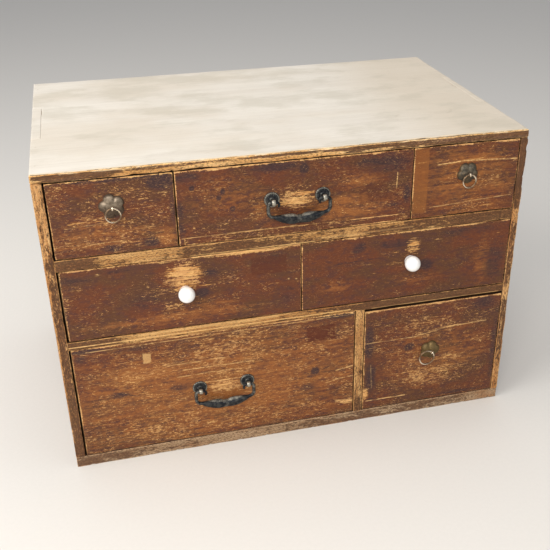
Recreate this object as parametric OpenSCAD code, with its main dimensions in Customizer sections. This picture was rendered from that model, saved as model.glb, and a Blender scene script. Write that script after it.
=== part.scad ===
// Tabletop chest of seven drawers in three rows, with bail handles, ring pulls and knobs.
// Millimetres. X is the width, the front faces -Y, Z is up, and the origin is the middle of the underside.

/* [Cabinet] */
// Width over the side boards
cabinet_w = 500; // [490:1:530]
// Depth from the front edges to the rear edges
cabinet_d = 318; // [280:1:360]
// Height over the top and bottom boards
cabinet_h = 340; // [335:1:360]

/* [Carcass boards] */
// Thickness of the top board
top_t = 8; // [7:1:12]
// Thickness of the bottom board
bottom_t = 13; // [10:1:15]
// Thickness of the left side board
left_t = 10; // [8:1:12]
// Thickness of the right side board
right_t = 8; // [8:1:12]
// Thickness of the back panel
back_t = 6; // [4:1:8]
// Thickness of the upper shelf
upper_shelf_t = 12; // [8:1:14]
// Thickness of the lower shelf
lower_shelf_t = 9; // [8:1:12]
// Thickness of the upright dividers
divider_t = 10; // [8:1:12]
// How far shelves and dividers are let into their neighbours
housing = 3; // [2:1:4]
// How far a housing stops short of the front
housing_stop = 15; // [10:1:30]

/* [Drawer bays] */
// Height of the lower row of bays
low_h = 137; // [120:1:140]
// Height of the middle row of bays
mid_h = 81; // [70:1:84]
// Line between the left and middle drawers of the top row
top_split_left = -120; // [-130:1:-110]
// Line between the middle and right drawers of the top row
top_split_right = 124; // [115:1:130]
// Line between the two drawers of the middle row
mid_split = 5; // [-20:1:20]
// Middle of the flush divider in the lower row
low_split = 71.5; // [60:0.5:80]

/* [Drawers] */
// Thickness of the drawer fronts
front_t = 12; // [10:1:14]
// Thickness of the drawer sides
side_t = 7; // [6:1:9]
// Thickness of the drawer backs
rear_t = 7; // [6:1:9]
// Thickness of the drawer bottoms
floor_t = 5; // [4:1:6]
// Thickness of the top middle drawer's bottom, whose edge shows under its front
shown_floor_t = 8; // [6:1:9]
// How far the drawer sides and bottom are let into the front
front_lap = 6; // [4:1:7]

/* [Bail handles] */
// Distance between the two eye posts
bail_cc = 52.5; // [48:0.5:60]
// Distance of the bail's pivot line in front of the drawer
bail_reach = 8; // [7.5:0.5:10]
// Height from the pivot line down to the middle of the grip
bail_drop = 20.8; // [18:0.2:24]
// Radius of the bail where it turns in the posts
bail_r = 1.5; // [1.2:0.1:1.8]
// Half the height of the thick part of the grip
grip_r = 5; // [4:0.1:5.2]
// Thickness of the grip front to back, as a share of its height
grip_flat = 0.68; // [0.6:0.02:0.8]
// Radius of the rosettes
rosette_r = 8.2; // [7.5:0.1:9]

/* [Ring pulls] */
// Radius over the petals of the top left drawer's blossom plate
plate_r = 12.6; // [11:0.2:13]
// Radius over the petals of the other two blossom plates
small_plate_r = 11.8; // [11:0.2:13]
// Height of the middle of a blossom plate
plate_h = 3.6; // [3:0.2:4]
// Distance of the ring's pivot line in front of the drawer
ring_reach = 7; // [6.5:0.5:9]
// Radius of the rings of the top row to the middle of the wire
ring_r = 7.1; // [6.5:0.1:8.5]
// Radius of the low right drawer's ring to the middle of the wire
wide_ring_r = 8.8; // [7:0.1:9]
// Radius of the ring wire
ring_wire_r = 0.85; // [0.7:0.05:0.9]
// How far the low right drawer's ring hangs askew
askew = 42; // [0:1:45]

/* [Knobs] */
// Radius of the porcelain ball
knob_r = 8.5; // [8:0.1:10]
// Distance of the ball's middle in front of the drawer
knob_reach = 8.8; // [8.6:0.2:12]

/* [Hidden] */
$fn = 48;
DRAWER_NAMES = ["top_left", "top_middle", "top_right", "mid_left", "mid_right", "low_left", "low_right"];
CARCASS_NODES = ["top_board", "bottom_board", "left_side", "right_side", "back_panel", "upper_shelf",
    "lower_shelf", "top_left_divider", "top_right_divider", "mid_divider", "low_divider", "carcass_pegs"];
PULL_NODES = ["top_middle_bail", "top_middle_rosettes", "top_middle_posts",
    "low_left_bail", "low_left_rosettes", "low_left_posts",
    "top_left_plate", "top_left_staple", "top_left_ring",
    "top_right_plate", "top_right_staple", "top_right_ring",
    "low_right_plate", "low_right_staple", "low_right_ring",
    "mid_left_knob", "mid_left_screw", "mid_right_knob", "mid_right_screw"];
DRAWER_PARTS = ["_front", "_sides", "_back", "_bottom"];
DRAWER_NODES = [for (d = DRAWER_NAMES) for (part = DRAWER_PARTS) str(d, part)];

// Colours
top_wood = [0.72, 0.68, 0.60];
edge_wood = [0.66, 0.50, 0.33];
stained_wood = [0.33, 0.18, 0.11];
plain_wood = [0.74, 0.62, 0.45];
dark_iron = [0.17, 0.18, 0.20];
old_bronze = [0.42, 0.38, 0.29];
porcelain = [0.95, 0.95, 0.93];

// Carcass planes
front_y = -cabinet_d / 2;
rear_y = cabinet_d / 2;
panel_y = rear_y - back_t;
left_x = -cabinet_w / 2 + left_t;
right_x = cabinet_w / 2 - right_t;
ceiling_z = cabinet_h - top_t;
low_z = bottom_t;
lower_shelf_z = low_z + low_h;
mid_z = lower_shelf_z + lower_shelf_t;
upper_shelf_z = mid_z + mid_h;
top_z = upper_shelf_z + upper_shelf_t;
finger_d = cabinet_d / 3;
set_back = front_t + 2;

// Drawer gaps
recess = 0.6;
face_y = front_y + recess;
box_end_y = panel_y - 1.2;
left_gap = 1.2;
right_gap = 0.8;
divider_gap = 1;
split_gap = 0.5;
run_gap = 0.4;
front_rise = 0.5;
shown_floor_recess = 0.6;
side_headroom = 4;
rear_housing = 3;
rear_inset = 2;

// Pegs
peg_r = 1.25;
peg_hole_r = 1.3;
peg_l = 24;
peg_inset = 0.3;
SHELF_PEG_Y = [-0.32, 0.02, 0.36] * cabinet_d;
PANEL_PEG_X = [-0.4, -0.2, 0, 0.2, 0.4] * cabinet_w;
SHELF_PEG_Z = [lower_shelf_z + lower_shelf_t / 2, upper_shelf_z + upper_shelf_t / 2];

// Each drawer: the planes of its bay, the ends of its front, the gap above its front, and its floor
//  [bay left, bay right, front left, front right,
//   bay floor, bay ceiling, gap over the front, floor thickness]
half_divider = divider_t / 2;
DRAWERS = [
    [left_x + left_gap, top_split_left - half_divider - divider_gap,
        left_x + left_gap, top_split_left - split_gap, top_z, ceiling_z, 1, floor_t],
    [top_split_left + half_divider + divider_gap, top_split_right - half_divider - divider_gap,
        top_split_left + split_gap, top_split_right - split_gap, top_z, ceiling_z, 0.8, shown_floor_t],
    [top_split_right + half_divider + divider_gap, right_x - right_gap,
        top_split_right + split_gap, right_x - right_gap, top_z, ceiling_z, 1.2, floor_t],
    [left_x + left_gap, mid_split - half_divider - divider_gap,
        left_x + left_gap, mid_split - split_gap, mid_z, upper_shelf_z, 0.8, floor_t],
    [mid_split + half_divider + divider_gap, right_x - right_gap,
        mid_split + split_gap, right_x - right_gap, mid_z, upper_shelf_z, 0.8, floor_t],
    [left_x + left_gap, low_split - half_divider - divider_gap,
        left_x + left_gap, low_split - half_divider - divider_gap, low_z, lower_shelf_z, 0.7, floor_t],
    [low_split + half_divider + divider_gap, right_x - right_gap,
        low_split + half_divider + divider_gap, right_x - right_gap, low_z, lower_shelf_z, 2.6, floor_t]];

// Where the pulls sit on the fronts: [x, z]
TOP_MIDDLE_BAIL = [1.4, 292];
LOW_LEFT_BAIL = [-83.8, 80.5];
TOP_LEFT_RING = [-179.7, 303];
TOP_RIGHT_RING = [184.4, 299];
LOW_RIGHT_RING = [157.5, 84.6];
MID_LEFT_KNOB = [-117, 201.9];
MID_RIGHT_KNOB = [126, 204.2];

// Bores in the fronts and what passes through them
post_r = 1.6;
staple_r = 1;
screw_r = 1.9;
bore_play = 0.05;

// Box between two corners
module block(low, high) {
    translate(low) cube(high - low);
}

// Cylinder along Y from a plane towards the rear
module rod_y(x, y, z, r, l, sides = $fn) {
    translate([x, y, z]) rotate([-90, 0, 0]) cylinder(r = r, h = l, $fn = sides);
}

// Cylinder along X, centred on a point
module rod_x(x, y, z, r, l) {
    translate([x, y, z]) rotate([0, 90, 0]) cylinder(r = r, h = l, center = true);
}

// ---------- Carcass ----------

// Both ends of a flat board are notched for the sides' middle fingers
module finger_notches(z0, z1) {
    for (x = [[-cabinet_w / 2 - 1, left_x], [right_x, cabinet_w / 2 + 1]])
        block([x[0], -finger_d / 2, z0 - 1], [x[1], finger_d / 2, z1 + 1]);
}

// Upright pegs through the outer fingers of a flat board into the ends of the sides
module corner_pegs(z, r, l) {
    for (x = [-cabinet_w + left_t, cabinet_w - right_t] / 2, end = [-1, 1], step = [0.75, 1.25])
        translate([x, end * step * finger_d, z]) cylinder(r = r, h = l);
}

// Level pegs through the sides into the ends of the shelves
module shelf_pegs(z, r, l) {
    for (y = SHELF_PEG_Y) {
        rod_x(-cabinet_w / 2 + peg_inset + l / 2, y, z, r, l);
        rod_x(cabinet_w / 2 - peg_inset - l / 2, y, z, r, l);
    }
}

// Level pegs through the back panel into the rear edges of the shelves
module panel_pegs(z, r, l) {
    for (x = PANEL_PEG_X)
        rod_y(x, rear_y - peg_inset - l, z, r, l);
}

// Holes for the pegs, open to the outside of the board
module peg_holes() {
    corner_pegs(-1, peg_hole_r, peg_l + 2);
    corner_pegs(cabinet_h - peg_l - 1, peg_hole_r, peg_l + 2);
    for (z = SHELF_PEG_Z) {
        for (y = SHELF_PEG_Y) {
            rod_x(-cabinet_w / 2, y, z, peg_hole_r, 2 * peg_l + 4);
            rod_x(cabinet_w / 2, y, z, peg_hole_r, 2 * peg_l + 4);
        }
        for (x = PANEL_PEG_X)
            rod_y(x, rear_y - peg_l - 1, z, peg_hole_r, peg_l + 2);
    }
}

module carcass_pegs() {
    color(edge_wood) {
        corner_pegs(peg_inset, peg_r, peg_l);
        corner_pegs(cabinet_h - peg_inset - peg_l, peg_r, peg_l);
        for (z = SHELF_PEG_Z) {
            shelf_pegs(z, peg_r, peg_l);
            panel_pegs(z, peg_r, peg_l - 4);
        }
    }
}

// Where the dividers are let into the board above or below them
module divider_housing(x, z0, z1, y0) {
    block([x - half_divider, y0, z0], [x + half_divider, panel_y, z1]);
}

module top_board() {
    color(top_wood) difference() {
        block([-cabinet_w / 2, front_y, ceiling_z], [cabinet_w / 2, rear_y, cabinet_h]);
        finger_notches(ceiling_z, cabinet_h);
        for (x = [top_split_left, top_split_right])
            divider_housing(x, ceiling_z - 1, ceiling_z + housing, front_y + set_back);
        peg_holes();
    }
}

module bottom_board() {
    color(edge_wood) difference() {
        block([-cabinet_w / 2, front_y, 0], [cabinet_w / 2, rear_y, bottom_t]);
        finger_notches(0, bottom_t);
        divider_housing(low_split, bottom_t - housing, bottom_t + 1, front_y + housing_stop);
        peg_holes();
    }
}

// A side board with its middle fingers and shelf housings
module side_board(outer_x, inner_x, housing_x) {
    low_x = min(outer_x, inner_x);
    high_x = max(outer_x, inner_x);
    color(edge_wood) difference() {
        union() {
            block([low_x, front_y, bottom_t], [high_x, rear_y, ceiling_z]);
            block([low_x, -finger_d / 2, 0], [high_x, finger_d / 2, cabinet_h]);
        }
        for (z = [[lower_shelf_z, mid_z], [upper_shelf_z, top_z]])
            block([min(housing_x, inner_x), front_y + housing_stop, z[0]],
                [max(housing_x, inner_x), panel_y, z[1]]);
        peg_holes();
    }
}

module left_side() {
    side_board(-cabinet_w / 2, left_x, left_x - housing);
}

module right_side() {
    side_board(cabinet_w / 2, right_x, right_x + housing);
}

module back_panel() {
    color(plain_wood) difference() {
        block([left_x, panel_y, bottom_t], [right_x, rear_y, ceiling_z]);
        peg_holes();
    }
}

// A shelf with a tongue at each end
module shelf(z0, z1) {
    block([left_x, front_y, z0], [right_x, panel_y, z1]);
    block([left_x - housing, front_y + housing_stop, z0], [right_x + housing, panel_y, z1]);
}

module upper_shelf() {
    color(edge_wood) difference() {
        shelf(upper_shelf_z, top_z);
        for (x = [top_split_left, top_split_right])
            divider_housing(x, top_z - housing, top_z + 1, front_y + set_back);
        divider_housing(mid_split, upper_shelf_z - 1, upper_shelf_z + housing, front_y + set_back);
        peg_holes();
    }
}

module lower_shelf() {
    color(edge_wood) difference() {
        shelf(lower_shelf_z, mid_z);
        divider_housing(mid_split, mid_z - housing, mid_z + 1, front_y + set_back);
        divider_housing(low_split, lower_shelf_z - 1, lower_shelf_z + housing, front_y + housing_stop);
        peg_holes();
    }
}

// A divider behind the drawer fronts, let in above and below
module set_back_divider(x, z0, z1) {
    color(plain_wood) divider_housing(x, z0 - housing, z1 + housing, front_y + set_back);
}

module top_left_divider() {
    set_back_divider(top_split_left, top_z, ceiling_z);
}

module top_right_divider() {
    set_back_divider(top_split_right, top_z, ceiling_z);
}

module mid_divider() {
    set_back_divider(mid_split, mid_z, upper_shelf_z);
}

module low_divider() {
    color(edge_wood) {
        divider_housing(low_split, low_z, lower_shelf_z, front_y);
        divider_housing(low_split, low_z - housing, lower_shelf_z + housing, front_y + housing_stop);
    }
}

// ---------- Drawers ----------

// Height of a drawer's underside and of the top of its bottom board
function under_z(d) = d[4] + run_gap;
function floor_z(d) = under_z(d) + d[7];
function box_top_z(d) = d[5] - side_headroom;
function shown(d) = d[7] == shown_floor_t;

module side_boards(d) {
    for (x = [d[0], d[1] - side_t])
        block([x, face_y + front_t - front_lap, floor_z(d)], [x + side_t, box_end_y, box_top_z(d)]);
}

module rear_board(d) {
    block([d[0] + side_t - rear_housing, box_end_y - rear_inset - rear_t, floor_z(d)],
        [d[1] - side_t + rear_housing, box_end_y - rear_inset, box_top_z(d)]);
}

// The bottom board comes through the front where its edge shows, and is let into the front elsewhere
module floor_board(d) {
    start_y = face_y + (shown(d) ? shown_floor_recess : front_t - front_lap);
    block([d[0], start_y, under_z(d)], [d[1], box_end_y, floor_z(d)]);
}

module front_board(d) {
    difference() {
        block([d[2], face_y, under_z(d) + front_rise], [d[3], face_y + front_t, d[5] - d[6]]);
        side_boards(d);
        floor_board(d);
        if (shown(d))
            block([d[0], face_y - 1, under_z(d)], [d[1], face_y + 1, floor_z(d)]);
    }
}

module drawer_sides(d) {
    color(plain_wood) difference() {
        side_boards(d);
        rear_board(d);
    }
}

module drawer_back(d) {
    color(plain_wood) rear_board(d);
}

module drawer_bottom(d) {
    color(plain_wood) floor_board(d);
}

// A front bored for a pull: the bores are at the listed [x, z] places
module bored_front(d, places, r) {
    color(stained_wood) difference() {
        front_board(d);
        for (p = places)
            rod_y(p[0], face_y - 1, p[1], r + bore_play, front_t + 2);
    }
}

function bail_places(p) = [[p[0] - bail_cc / 2, p[1]], [p[0] + bail_cc / 2, p[1]]];

module drawer_front(i) {
    d = DRAWERS[i];
    if (i == 0) bored_front(d, [TOP_LEFT_RING], staple_r);
    if (i == 1) bored_front(d, bail_places(TOP_MIDDLE_BAIL), post_r);
    if (i == 2) bored_front(d, [TOP_RIGHT_RING], staple_r);
    if (i == 3) bored_front(d, [MID_LEFT_KNOB], screw_r);
    if (i == 4) bored_front(d, [MID_RIGHT_KNOB], screw_r);
    if (i == 5) bored_front(d, bail_places(LOW_LEFT_BAIL), post_r);
    if (i == 6) bored_front(d, [LOW_RIGHT_RING], staple_r);
}

// ---------- Bail handles ----------

// Half of the bail's centre line from the middle of the grip to the curled tip, as [x, z, radius].
// The pivot line is at z = 0.
eye_half = 1.9;
eye_play = 0.3;
hook_r = 3.4;
corner_r = 6;
curl_r = 3;
arm_r = bail_r + 0.3;
grip_rise = 4.6;
collar_x = 2.4;
arm_x = bail_cc / 2 + eye_half + eye_play + hook_r;
grip_end = arm_x - corner_r;
grip_end_z = -bail_drop + grip_rise;

// Radius along the grip: a collar in the middle, then a leaf that swells and tapers to the arm
function leaf(u) = pow(sin(180 * pow(u, 0.62)), 0.9);
leaf_start = 2.2;
function leaf_share(x) = min(1, (x - collar_x + leaf_start) / (grip_end - collar_x + leaf_start));
function leaf_radius(x) = arm_r + (grip_r - arm_r) * leaf(leaf_share(x));
function grip_radius(x) =
    x < collar_x * 0.75 ? grip_r * 0.9 :
    x < collar_x ? grip_r * 0.72 :
    leaf_radius(x);

collar_places = [0, 0.35, 0.7, 0.76, 0.96] * collar_x;
leaf_places = [for (k = [0 : 10]) collar_x + (grip_end - collar_x) * k / 10];
grip_line = [for (x = concat(collar_places, leaf_places))
    [x, -bail_drop + grip_rise * pow(x / grip_end, 2), grip_radius(x)]];
corner_line = [for (a = [25 : 13 : 90])
    [grip_end + corner_r * sin(a), grip_end_z + corner_r * (1 - cos(a)), arm_r]];
hook_line = [for (a = [0 : 15 : 90])
    [arm_x - hook_r + hook_r * cos(a), -hook_r + hook_r * sin(a), arm_r + (bail_r - arm_r) * a / 90]];
curl_x = bail_cc / 2 - eye_half - 2 * eye_play;
curl_line = [for (a = [0 : 20 : 120])
    [curl_x - curl_r * sin(a), -curl_r + curl_r * cos(a), bail_r * (1 - a / 600)]];
half_bail = concat(grip_line, corner_line, hook_line, curl_line);

// The whole centre line, from one tip to the other
bail_line = concat(
    [for (i = [len(half_bail) - 1 : -1 : 1]) [-half_bail[i][0], half_bail[i][1], half_bail[i][2]]],
    half_bail);

// How much flatter the bar is front to back where it is thicker than the arms
function flatness(r) = 1 - (1 - grip_flat) * max(0, r - arm_r) / (grip_r - arm_r);

// A bar swept along a line that lies in the XZ plane
module swept_bar(line, sides) {
    n = len(line);
    ends = function(i) [line[max(i - 1, 0)], line[min(i + 1, n - 1)]];
    points = [for (i = [0 : n - 1])
        let (e = ends(i), t = [e[1][0] - e[0][0], e[1][1] - e[0][1]], u = t / norm(t), r = line[i][2])
        for (k = [0 : sides - 1])
        let (a = 360 * k / sides)
        [line[i][0] - u[1] * r * cos(a), r * flatness(r) * sin(a), line[i][1] + u[0] * r * cos(a)]];
    walls = [for (i = [0 : n - 2], k = [0 : sides - 1])
        let (a = i * sides + k, b = i * sides + (k + 1) % sides)
        [a, b, b + sides, a + sides]];
    first_cap = [for (k = [sides - 1 : -1 : 0]) k];
    last_cap = [for (k = [0 : sides - 1]) (n - 1) * sides + k];
    polyhedron(points = points, faces = concat(walls, [first_cap, last_cap]));
}

module bail(p) {
    color(dark_iron) translate([p[0], face_y - bail_reach, p[1]]) swept_bar(bail_line, 14);
}

// A domed disc with a scalloped rim, seen from the front
rosette_h = 2;
scallops = 16;
scallop_r = 0.8;
module rosette() {
    difference() {
        rotate_extrude()
            polygon([[0, 0], [rosette_r, 0], [rosette_r, 0.7], [rosette_r - 1.2, 1.1],
                [rosette_r - 2, 0.9], [4.6, 1.5], [3, rosette_h], [0, rosette_h]]);
        translate([0, 0, -1]) cylinder(r = post_r + bore_play, h = rosette_h + 2);
        for (k = [0 : scallops - 1])
            rotate([0, 0, 360 * k / scallops]) translate([rosette_r + 0.35, 0, -1])
                cylinder(r = scallop_r, h = rosette_h + 2);
    }
}

module rosettes(p) {
    color(dark_iron) for (q = bail_places(p))
        translate([q[0], face_y, q[1]]) rotate([90, 0, 0]) rosette();
}

// An eye post: the eye, the shank through the front, and two legs clenched against the inside
eye_r = 3.1;
leg_l = 9;
leg_t = 1.4;
leg_play = 0.05;
module eye_post(x, z, reach, eye, half, hole, shank) {
    eye_y = face_y - reach;
    shank_y = eye_y + hole + 0.4;
    inner_y = face_y + front_t;
    leg_x = shank * 0.7;
    difference() {
        union() {
            intersection() {
                translate([x, eye_y, z]) sphere(r = eye);
                block([x - half, eye_y - 2 * eye, z - 2 * eye], [x + half, eye_y + 2 * eye, z + 2 * eye]);
            }
            rod_y(x, shank_y, z, shank, inner_y + leg_t - shank_y);
        }
        rod_x(x, eye_y, z, hole, 4 * half);
    }
    block([x - leg_x, inner_y + leg_play, z - leg_l], [x + leg_x, inner_y + leg_t, z + leg_l]);
}

module posts(p) {
    color(dark_iron) for (q = bail_places(p))
        eye_post(q[0], q[1], bail_reach, eye_r, eye_half, bail_r + 0.08, post_r);
}

// ---------- Ring pulls ----------

// One low dome on the XY plane: a slice of a ball of the right size
module dome(r, h) {
    ball_r = (r * r + h * h) / (2 * h);
    intersection() {
        translate([0, 0, h - ball_r]) sphere(r = ball_r);
        cylinder(r = r + 1, h = h + 1);
    }
}

// Five petals round a low dome. The first petal points up, and turn leans it to the left.
petal_r = 5.5;
petal_h = 3;
module blossom_plate(p, r, turn) {
    color(old_bronze) translate([p[0], face_y, p[1]]) rotate([90, -turn, 0]) difference() {
        union() {
            for (k = [0 : 4])
                rotate([0, 0, 72 * k]) translate([0, r - petal_r, 0]) dome(petal_r, petal_h);
            dome(r * 0.62, plate_h);
        }
        translate([0, 0, -1]) cylinder(r = staple_r + bore_play, h = plate_h + 2);
    }
}

// The staple's eye turns with the ring that hangs in it
staple_eye_r = 2.3;
staple_half = 0.9;
ring_play = 0.1;
module staple(p, turn) {
    color(old_bronze) translate([p[0], 0, p[1]]) rotate([0, turn, 0])
        eye_post(0, 0, ring_reach, staple_eye_r, staple_half, ring_wire_r + ring_play, staple_r);
}

module ring(p, r, turn) {
    color(old_bronze) translate([p[0], face_y - ring_reach, p[1]]) rotate([0, turn, 0])
        translate([0, 0, -r]) rotate([90, 0, 0])
        rotate_extrude() translate([r, 0]) circle(r = ring_wire_r);
}

// ---------- Knobs ----------

knob_flange_r = 7.2;
knob_flange_t = 2.2;
knob_neck_r = 5.6;
screw_depth = 11;
module knob(p) {
    neck_y = knob_reach - sqrt(knob_r * knob_r - knob_neck_r * knob_neck_r);
    color(porcelain) translate([p[0], face_y, p[1]]) rotate([90, 0, 0]) difference() {
        union() {
            translate([0, 0, knob_reach]) sphere(r = knob_r);
            cylinder(r = knob_neck_r, h = neck_y + 1);
            cylinder(r = knob_flange_r, h = knob_flange_t);
        }
        translate([0, 0, -1]) cylinder(r = screw_r + bore_play, h = screw_depth + 1.1);
    }
}

// The screw runs from inside the knob through the front to a washer and nut
washer_r = 5;
washer_t = 1;
nut_r = 4;
nut_t = 3;
screw_tail = 1;
module screw(p) {
    inner_y = face_y + front_t;
    screw_l = screw_depth + front_t + washer_t + nut_t + screw_tail;
    color(old_bronze) {
        rod_y(p[0], face_y - screw_depth, p[1], screw_r, screw_l);
        rod_y(p[0], inner_y, p[1], washer_r, washer_t);
        rod_y(p[0], inner_y + washer_t, p[1], nut_r, nut_t, 6);
    }
}

// ---------- Which node is drawn ----------

top_board();
bottom_board();
left_side();
right_side();
back_panel();
upper_shelf();
lower_shelf();
top_left_divider();
top_right_divider();
mid_divider();
low_divider();
carcass_pegs();
for (i = [0 : len(DRAWERS) - 1]) {
    drawer_front(i);
    drawer_sides(DRAWERS[i]);
    drawer_back(DRAWERS[i]);
    drawer_bottom(DRAWERS[i]);
}
bail(TOP_MIDDLE_BAIL);  // top_middle_bail
rosettes(TOP_MIDDLE_BAIL);  // top_middle_rosettes
posts(TOP_MIDDLE_BAIL);  // top_middle_posts
bail(LOW_LEFT_BAIL);  // low_left_bail
rosettes(LOW_LEFT_BAIL);  // low_left_rosettes
posts(LOW_LEFT_BAIL);  // low_left_posts
blossom_plate(TOP_LEFT_RING, plate_r, 15);  // top_left_plate
staple(TOP_LEFT_RING, 0);  // top_left_staple
ring(TOP_LEFT_RING, ring_r, 0);  // top_left_ring
blossom_plate(TOP_RIGHT_RING, small_plate_r, 36);  // top_right_plate
staple(TOP_RIGHT_RING, 0);  // top_right_staple
ring(TOP_RIGHT_RING, ring_r, 0);  // top_right_ring
blossom_plate(LOW_RIGHT_RING, small_plate_r, -20);  // low_right_plate
staple(LOW_RIGHT_RING, askew);  // low_right_staple
ring(LOW_RIGHT_RING, wide_ring_r, askew);  // low_right_ring
knob(MID_LEFT_KNOB);  // mid_left_knob
screw(MID_LEFT_KNOB);  // mid_left_screw
knob(MID_RIGHT_KNOB);  // mid_right_knob
screw(MID_RIGHT_KNOB);  // mid_right_screw
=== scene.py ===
"""Looks of a tabletop chest of seven drawers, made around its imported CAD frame.

Everything is in metres in the frame's own axes: X to the right, the front faces -Y, Z is up.
Sizes written as a number times MM are millimetres.
"""

import math

import bpy
import numpy as np
from mathutils import Euler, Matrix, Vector


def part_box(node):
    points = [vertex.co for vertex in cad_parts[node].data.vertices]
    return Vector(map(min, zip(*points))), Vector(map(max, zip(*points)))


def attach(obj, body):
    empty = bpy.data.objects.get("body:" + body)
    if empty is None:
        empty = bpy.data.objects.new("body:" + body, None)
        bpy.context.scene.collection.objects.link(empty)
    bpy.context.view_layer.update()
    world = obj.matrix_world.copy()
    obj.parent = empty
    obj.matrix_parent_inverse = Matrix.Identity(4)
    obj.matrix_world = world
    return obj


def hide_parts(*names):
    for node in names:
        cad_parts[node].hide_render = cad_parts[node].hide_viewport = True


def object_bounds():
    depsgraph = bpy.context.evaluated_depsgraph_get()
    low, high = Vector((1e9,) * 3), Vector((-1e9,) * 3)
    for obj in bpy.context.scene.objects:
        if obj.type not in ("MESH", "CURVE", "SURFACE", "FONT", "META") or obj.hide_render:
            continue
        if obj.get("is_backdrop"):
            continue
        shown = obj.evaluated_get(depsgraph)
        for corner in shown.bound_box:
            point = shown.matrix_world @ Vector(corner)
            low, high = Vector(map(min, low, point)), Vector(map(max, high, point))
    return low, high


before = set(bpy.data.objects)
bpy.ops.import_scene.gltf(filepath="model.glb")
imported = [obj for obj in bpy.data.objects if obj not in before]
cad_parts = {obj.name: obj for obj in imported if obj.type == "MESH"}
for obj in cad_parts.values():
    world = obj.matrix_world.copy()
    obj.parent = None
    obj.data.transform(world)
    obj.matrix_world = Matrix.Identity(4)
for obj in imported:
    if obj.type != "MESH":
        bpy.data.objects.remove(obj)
cad_low, cad_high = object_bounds()

MM = 0.001
TAU = 2 * math.pi

# ---------- Places taken from the frame ----------

BOX = {name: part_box(name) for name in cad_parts}
DRAWERS = ["top_left", "top_middle", "top_right", "mid_left", "mid_right", "low_left", "low_right"]
BAIL_DRAWERS = ["top_middle", "low_left"]
RING_DRAWERS = ["top_left", "top_right", "low_right"]
KNOB_DRAWERS = ["mid_left", "mid_right"]

front_y, rear_y = (corner.y for corner in BOX["left_side"])
panel_y = BOX["back_panel"][0].y
inner_left, inner_right = BOX["left_side"][1].x, BOX["right_side"][0].x
floor_top, ceiling = BOX["bottom_board"][1].z, BOX["top_board"][0].z
face_y = BOX["low_left_front"][0].y
finger = (rear_y - front_y) / 6
SHELF_LIP = 15 * MM
HOUSING = 3 * MM
DRAWER_SIDE = 7 * MM
FRONT_THICK = 12 * MM
# How far a cut goes past the wood
PAST = 1 * MM


def at(x0, y0, z0, x1, y1, z1):
    """A box between two corners."""
    return (x0, y0, z0), (x1, y1, z1)


def node_box(name):
    """A CAD node's own box."""
    return tuple(tuple(c) for c in BOX[name])


# ---------- Random but repeatable values ----------


def waves(points, size, seed, count=28):
    """Smooth random values at some points, mostly between -2 and 2, that change over about the given size."""
    draw = np.random.default_rng(seed)
    heading = draw.normal(size=(count, 3))
    heading /= np.linalg.norm(heading, axis=1)[:, None]
    pitch = TAU / (size * draw.uniform(0.7, 1.6, count))
    phase = draw.uniform(0, TAU, count)
    return np.sin(points @ (heading * pitch[:, None]).T + phase).sum(1) * math.sqrt(2 / count)


def smooth(value, low, high):
    """0 below low, 1 above high, and a smooth step between."""
    t = np.clip((value - low) / (high - low), 0, 1)
    return t * t * (3 - 2 * t)


# ---------- Wooden boards ----------

EDGE_STEPS = [0, 0.4 * MM, 1.0 * MM, 1.9 * MM, 3.1 * MM]


def grid_lines(breaks, step):
    """Places along one axis: close together next to every break, and at most a step apart elsewhere."""
    lines = []
    for low, high in zip(breaks[:-1], breaks[1:]):
        near = [e for e in EDGE_STEPS if e < (high - low) / 2.2]
        lines += [low + e for e in near] + [high - e for e in near]
        first, last = low + near[-1], high - near[-1]
        lines += list(np.linspace(first, last, max(1, math.ceil((last - first) / step)) + 1))
    return np.unique(np.round(lines, 7))


def run_ends(full, axis):
    """For each cell, the first and last line of the unbroken run of full cells through it along an axis."""
    count = full.shape[axis]
    shape = [1, 1, 1]
    shape[axis] = count
    index = np.arange(count).reshape(shape)
    first = np.maximum.accumulate(np.where(full, 0, index + 1), axis)
    last = np.flip(np.minimum.accumulate(np.flip(np.where(full, count, index), axis), axis), axis)
    return first, last


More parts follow.
